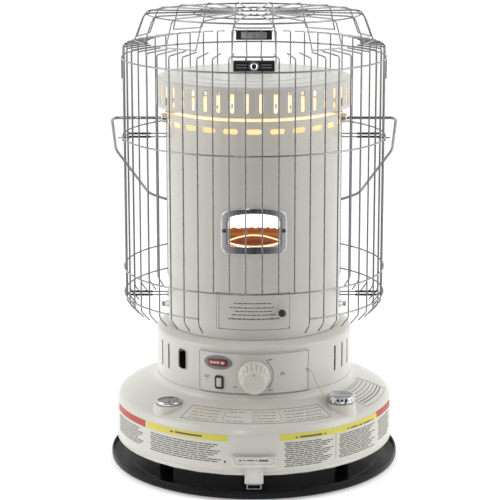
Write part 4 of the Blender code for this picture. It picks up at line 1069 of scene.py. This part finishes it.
def make_clips():
    for side, name in ((-1, "front"), (1, "rear")):
        low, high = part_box(f"guard_clip_{name}")
        width, height, depth = high.x - low.x, high.z - low.z, high.y - low.y
        azimuth = 90 + 90 * side
        centre_z = (low.z + high.z) / 2
        place = moved(0, low.y if side > 0 else high.y, centre_z, azimuth)
        body = plate([rounded_box(width, height, 0.0016), circle(0.0022)], depth - 0.003, 0.0008)
        lip = [plate([rounded_box(width, 0.0026, 0.0008, z=level)], depth - 0.001, 0.0006)
               for level in (height / 2 - 0.0013, 0.0013 - height / 2)]
        clip = placed(joined(body, *lip), place)
        shown(f"clip_{name}", clip, black_plastic, f"guard_clip_{name}")
        # The ribs and the collar are real raised shapes on the black clip, made grey as painted highlight.
        ribs = [plate([pill(0.016, 0.0016, x * 0.0185, level)], depth - 0.0008, 0.0005)
                for x in (-1, 1) for level in (-0.002, 0.002)]
        collar = plate([ellipse(0.008, 0.0074), circle(0.0056)], depth - 0.0008, 0.0006)
        shown(f"clip_ribs_{name}", placed(joined(*ribs, collar), place), rib_highlight_grey)
        screw_low, screw_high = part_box(f"clip_screw_{name}")
        tip = -screw_low.y if side < 0 else screw_high.y
        seat, rim, well = tip - 0.0022, tip - 0.0004, tip - 0.0012
        head = [(0, 0.2), (0.0018, 0.2), (0.0018, seat), (0.0054, seat), (0.0054, well), (0.0048, rim),
                (0.0042, tip), (0.0036, rim), (0.0032, well), (0, well)]
        shown(f"clip_bolt_{name}", placed(turned(head, 40), outwards(azimuth, 0, centre_z)), chrome,
              f"clip_screw_{name}")
        floor, lid = tip - 0.0014, tip - 0.0009
        socket = turned([(0, floor), (0.0031, floor), (0.0031, lid), (0, lid)], 32)
        shown(f"clip_bolt_socket_{name}", placed(socket, outwards(azimuth, 0, centre_z)), black_plastic)
    strap = plate([rounded_box(0.044, 0.011, 0.001)], 0.0008, 0.0002)
    inner_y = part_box("guard_clip_rear")[0].y
    shown("clip_strap_rear", placed(strap, moved(0, inner_y - 0.0001, centre_z)), bright_steel)


def make_bail():
    along = Vector((0, sin(BAIL_REST), -cos(BAIL_REST)))
    half = [(DRUM_R + 0.0022, 0), (0.2295, 0), (0.2295, 0.102), (0.182, 0.25), (0.15, 0.274), (0, 0.282)]
    route = [(-x, length) for x, length in half] + half[-2::-1]
    corners = [BAIL_PIVOT + Vector((x, 0, 0)) + along * length for x, length in route]
    handle = wire(rounded(corners, 0.011, 8), 0.0025, 16)
    shown("bail_wire", handle, wire_plate, "bail_handle", "bail_handle", sharp=60)
    for side, name in SIDES:
        cup = [(0, 0), (0.0078, 0), (0.0078, 0.0056), (0.0074, 0.0066), (0.0064, 0.0082), (0.0056, 0.0085),
               (0.0034, 0.0085), (0.003, 0.008), (0.003, 0.0015), (0, 0.0015)]
        place = moved(side * (DRUM_R + 0.0003), 0, BAIL_PIVOT.z, 90 * side, "Y")
        bushing = placed(turned(cup, 48), place)
        shown(f"bail_cup_{name}", bushing, bright_steel, f"bail_bushing_{name}")


# ---------------------------------------------------------------- gauge, filler, igniter, battery case

def make_gauge():
    place = moved(GAUGE.x, GAUGE.y)
    low, high = bottom("gauge_body"), top("gauge_body")
    stem, dial_z = 0.0024, 0.1331
    body = [(stem, low), (0.019, low), (0.0198, low + 0.0008), (0.0198, high - 0.004), (0.02, high - 0.0034),
            (0.02, high - 0.0016), (0.0196, high - 0.0006), (0.0188, high), (0.018, high - 0.0004),
            (0.018, 0.1322), (stem, 0.1322)]
    shown("gauge_case", placed(turned(body, 96), place), chrome, "gauge_body")
    pad = [(0.0204, 0.112), (0.0204, 0.1314), (0.0212, 0.1317), (0.0228, 0.1308), (0.0243, 0.1282),
           (0.0254, 0.124), (0.0262, 0.119), (0.0268, 0.112)]
    shown("gauge_pad", placed(turned(pad, 96), place), enamel)
    dial = [(stem, 0.1326), (0.0176, 0.1326), (0.0176, dial_z), (stem, dial_z)]
    shown("gauge_face", placed(turned(dial, 64), place), dial_print, "gauge_dial")
    marks = []
    for step in range(9):
        angle = radians(-80 + 20 * step)
        out, across = Vector((sin(angle), cos(angle))), Vector((cos(angle), -sin(angle))) * 0.0003
        near, far = out * (0.0115 if step % 4 == 0 else 0.013), out * 0.0155
        marks.append([tuple(point) for point in (near - across, far - across, far + across, near + across)])
    shown("gauge_ticks", placed(plate(marks, 0.0002), moved(GAUGE.x, GAUGE.y, dial_z, -90, "X")), grey_print)
    lens = [(0, 0.1354), (0.0176, 0.1354), (0.0176, 0.136), (0.012, 0.1364), (0, 0.1366)]
    shown("gauge_window", placed(turned(lens, 64), place), glass, "gauge_lens")


def make_filler():
    place = moved(CAP.x, CAP.y)
    low, high = bottom("fuel_cap"), top("fuel_cap")
    radius, inside, flutes, segments = 0.023, 0.0188, 14, 168
    cap = [(inside, low), (radius - 0.0004, low), (radius, low + 0.0004, 0.0008),
           (radius, high - 0.0028, 0.0012), (radius - 0.0008, high - 0.0012, 0.0008),
           (radius - 0.0024, high - 0.0002), (0.018, high), (0.017, high - 0.0006), (0.0162, high - 0.0012),
           (0, high - 0.0012), (0, high - 0.0025), (inside, high - 0.0025)]
    shape = placed(turned(cap, segments, flutes), place)
    shown("filler_cap", shape, cap_chrome, "fuel_cap", "fuel_cap", sharp=50)
    pad = [(0.019, 0.112), (0.019, 0.1335), (0.0194, 0.134), (0.0205, 0.134), (0.0218, 0.1325),
           (0.023, 0.1285), (0.0242, 0.123), (0.0252, 0.118), (0.0262, 0.112)]
    shown("filler_pad", placed(turned(pad, 96), place), enamel)


def make_tether():
    """The thin cord that keeps the fuel cap with the heater."""
    corners = [
        polar(PANEL_OUT + 0.0012, TETHER_AZIMUTH, TETHER_Z), polar(0.168, 33.0, 0.184),
        polar(0.1715, 34.6, 0.17), polar(0.177, 36.5, 0.154), polar(0.183, 38.0, 0.144),
        (0.114, -0.147, 0.1405), (0.1148, -0.144, 0.1412),
    ]
    points = smooth_route(corners, 4)
    curve = bpy.data.curves.new("tether", "CURVE")
    curve.dimensions = "3D"
    curve.bevel_depth = 0.0007
    curve.bevel_resolution = 4
    curve.use_fill_caps = True
    spline = curve.splines.new("POLY")
    spline.points.add(len(points) - 1)
    for slot, point in zip(spline.points, points):
        slot.co = (*point, 1.0)
    curve.materials.append(bright_steel)
    tether = bpy.data.objects.new("tether", curve)
    bpy.context.scene.collection.objects.link(tether)
    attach(tether, "heater")
    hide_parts("cap_tether")
    length = sum((far - near).length for near, far in zip(points, points[1:]))
    tuple(points[0])
    eyelet = turned([(0, -0.0004), (0.0028, -0.0004), (0.0028, 0.0006), (0.0018, 0.0016), (0, 0.002)], 24)
    shown("tether_eyelet", placed(eyelet, outwards(TETHER_AZIMUTH, PANEL_OUT, TETHER_Z)), bright_steel)


def make_igniter():
    half, paddle_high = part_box("igniter_lever")[1].x, top("igniter_lever")
    paddle_low = 0.056
    centre, rise = (paddle_low + paddle_high) / 2, (paddle_high - paddle_low) / 2
    taper = 0.004
    face = soft([(-half, rise), (half, rise), (half - taper, -rise), (taper - half, -rise)], 0.0022)
    inset = [(x * 0.93, z * 0.62 + 0.0024) for x, z in face]
    rim = placed(plate([face, inset], 0.0018, 0.0006), moved(y=-0.0032))
    paddle = placed(joined(plate([face], 0.0036, 0.0012), rim), moved(0, -0.2306, centre))
    stem_half, stem_back = 0.0145, -0.2292
    stem = plate([rounded_box(2 * stem_half, 0.032, 0.0012)], 0.0016, 0.0004)
    placed(stem, moved(0, stem_back, STEM_Z))
    edges = [placed(plate([rounded_box(0.0022, 0.03, 0.0008)], 0.003, 0.0006),
                    moved(x * (stem_half - 0.0013), stem_back, STEM_Z)) for x in (-1, 1)]
    pressed = joined(paddle, stem, *edges)
    shown("lever_paddle", pressed, lever_enamel, "igniter_lever", "igniter_lever", sharp=40)
    arm = placed(plate([rounded_box(0.022, 0.004, 0.0008)], 0.2364, 0.0006), moved(0, 0.006, BEAM_Z))
    arm_hole = placed(prism(circle(0.0012), 0.02), moved(0, -0.12, BEAM_Z, 90))
    shown("lever_beam", cut(arm, arm_hole), tray_enamel, body="igniter_lever")
    marks = []
    x = -0.0235
    for width in (0.005, 0.003, 0.011, 0.003, 0.015):
        marks.append(dash(x + width / 2, 0.003, width, 0.003 if width > 0.012 else 0.002))
        x += width + 0.0022
    words = placed(plate(marks, 0.0002), moved(0, -0.2342, centre))
    shown("lever_marks", words, grey_print, body="igniter_lever")
    catch = plate([rounded_box(0.0225, 0.008, 0.001), rounded_box(0.0205, 0.006, 0.0008)], 0.0008, 0.0002)
    shown("lever_catch", placed(catch, moved(0, -0.2314, 0.0236)), bright_steel, body="igniter_lever")


def make_igniter_coil():
    """The fine heating wire on the head of the ignition rod."""
    base, rise = top("ignition_rod") - 0.0075, 0.0065
    turns, radius, steps = 5, 0.0034, 16
    path = []
    for step in range(turns * steps + 1):
        angle = 2 * pi * step / steps
        path.append((radius * cos(angle), radius * sin(angle), base + rise * step / (turns * steps)))
    shown("igniter_filament", wire(path, 0.0004, 8), hot_steel, body="ignition_rod")


def make_battery_case():
    low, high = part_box("battery_case")
    count = 9
    ribs = []
    for step in range(count):
        rib = plate([pill(0.0022, high.z - low.z - 0.014, 0, -0.002)], 0.0008, 0.0003)
        x = low.x + (high.x - low.x) * (step + 0.5) / count
        ribs.append(placed(rib, moved(x, high.y, (low.z + high.z) / 2, 180)))
    shown("battery_case_ribs", joined(*ribs), black_plastic)
    low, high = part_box("battery_lid")
    grips = []
    for step in range(5):
        grip = plate([pill(0.0016, 0.02)], 0.0007, 0.0003)
        grips.append(placed(grip, moved(low.x + 0.01 + 0.004 * step, (low.y + high.y) / 2, high.z, -90, "X")))
    shown("battery_lid_grips", joined(*grips), black_plastic, body="battery_lid")


# ---------------------------------------------------------------- stage, light and camera

def make_stage():
    mesh = bpy.data.meshes.new("studio_floor")
    side, near, far = 30.0, -0.5, 45.0
    mesh.from_pydata([(-side, near, 0), (side, near, 0), (side, far, 0), (-side, far, 0)], [], [(0, 1, 2, 3)])
    mesh.materials.append(surface("pale_floor", (0.96, 0.96, 0.96), 0.9, mottle=0.004, patches=2.0, bump=0.0,
                                  extra={"Specular IOR Level": 0.1, "Emission Color": (1, 1, 1, 1),
                                         "Emission Strength": 0.38}))
    floor = bpy.data.objects.new("studio_floor", mesh)
    floor.location.z = -0.0002
    bpy.context.scene.collection.objects.link(floor)


def make_world():
    """A white studio whose light is softer on the camera's side and overhead."""
    world = bpy.data.worlds.new("studio")
    bpy.context.scene.world = world
    world.use_nodes = True
    tree = world.node_tree
    tree.nodes.clear()
    white = (1, 1, 1, 1)
    where = add_node(tree, "ShaderNodeTexCoord").outputs["Generated"]
    parts = add_node(tree, "ShaderNodeSeparateXYZ", {"Vector": where}).outputs

    def soft_step(part, near, far, start, end):
        step = add_node(tree, "ShaderNodeMapRange", {"Value": part})
        step.interpolation_type = "SMOOTHSTEP"
        for socket, value in (("From Min", near), ("From Max", far), ("To Min", start), ("To Max", end)):
            step.inputs[socket].default_value = value
        return step.outputs["Result"]

    both = add_node(tree, "ShaderNodeMath", {0: soft_step(parts["Y"], -1.0, -0.4, 0.03, 1.18),
                                             1: soft_step(parts["Z"], 0.35, 1.0, 1.0, 0.38)})
    both.operation = "MULTIPLY"
    lit = add_node(tree, "ShaderNodeBackground", {"Strength": both.outputs[0]}, Color=white)
    seen = add_node(tree, "ShaderNodeBackground", Color=white, Strength=1.0)
    path = add_node(tree, "ShaderNodeLightPath")
    mix = add_node(tree, "ShaderNodeMixShader",
                   {"Fac": path.outputs["Is Camera Ray"], 1: lit.outputs[0], 2: seen.outputs[0]})
    add_node(tree, "ShaderNodeOutputWorld", {"Surface": mix.outputs[0]})


def add_light(name, place, aim, width, height, power):
    light = bpy.data.lights.new(name, "AREA")
    light.shape = "RECTANGLE"
    light.size = width
    light.size_y = height
    light.energy = power
    made = bpy.data.objects.new(name, light)
    made.location = place
    made.rotation_euler = (Vector(aim) - Vector(place)).to_track_quat("-Z", "Y").to_euler()
    bpy.context.scene.collection.objects.link(made)


def make_lights():
    for side, name in SIDES:
        add_light(f"{name}_softbox", (1.9 * side, -0.5, 1.2), (0, 0, 0.5), 1.2, 1.5, 12.0)
    add_light("top_softbox", (0, 0.6, 2.6), (0, 0, 0), 2.4, 2.4, 6.0)
    add_light("front_strip", (-0.55, -2.6, 1.5), (0, 0, 0.46), 0.18, 1.2, 7.2)


def make_camera():
    """The photograph's view: three metres away, looking 12.68 degrees down through a long lens."""
    lens = bpy.data.cameras.new("camera")
    lens.sensor_width = 36.0
    lens.lens = 135.05
    lens.shift_x = -0.008
    lens.clip_end = 200.0
    camera = bpy.data.objects.new("camera", lens)
    camera.location = (0, -3.0014, 1.0249)
    camera.rotation_euler = (radians(90 - 12.68), 0, 0)
    bpy.context.scene.collection.objects.link(camera)
    bpy.context.scene.camera = camera


def build():
    finish_cad_nodes()
    for make in (make_camera, make_tether, make_tray, make_tank, make_housing, make_panel, make_badge,
                 make_button, make_knob, make_burner, make_drum, make_window, make_hood, make_door,
                 make_guard, make_top_guard, make_supports, make_clips, make_bail, make_gauge, make_filler,
                 make_igniter, make_igniter_coil, make_battery_case, make_stage, make_world, make_lights):
        make()
    bpy.context.scene.view_settings.view_transform = "Standard"


build()
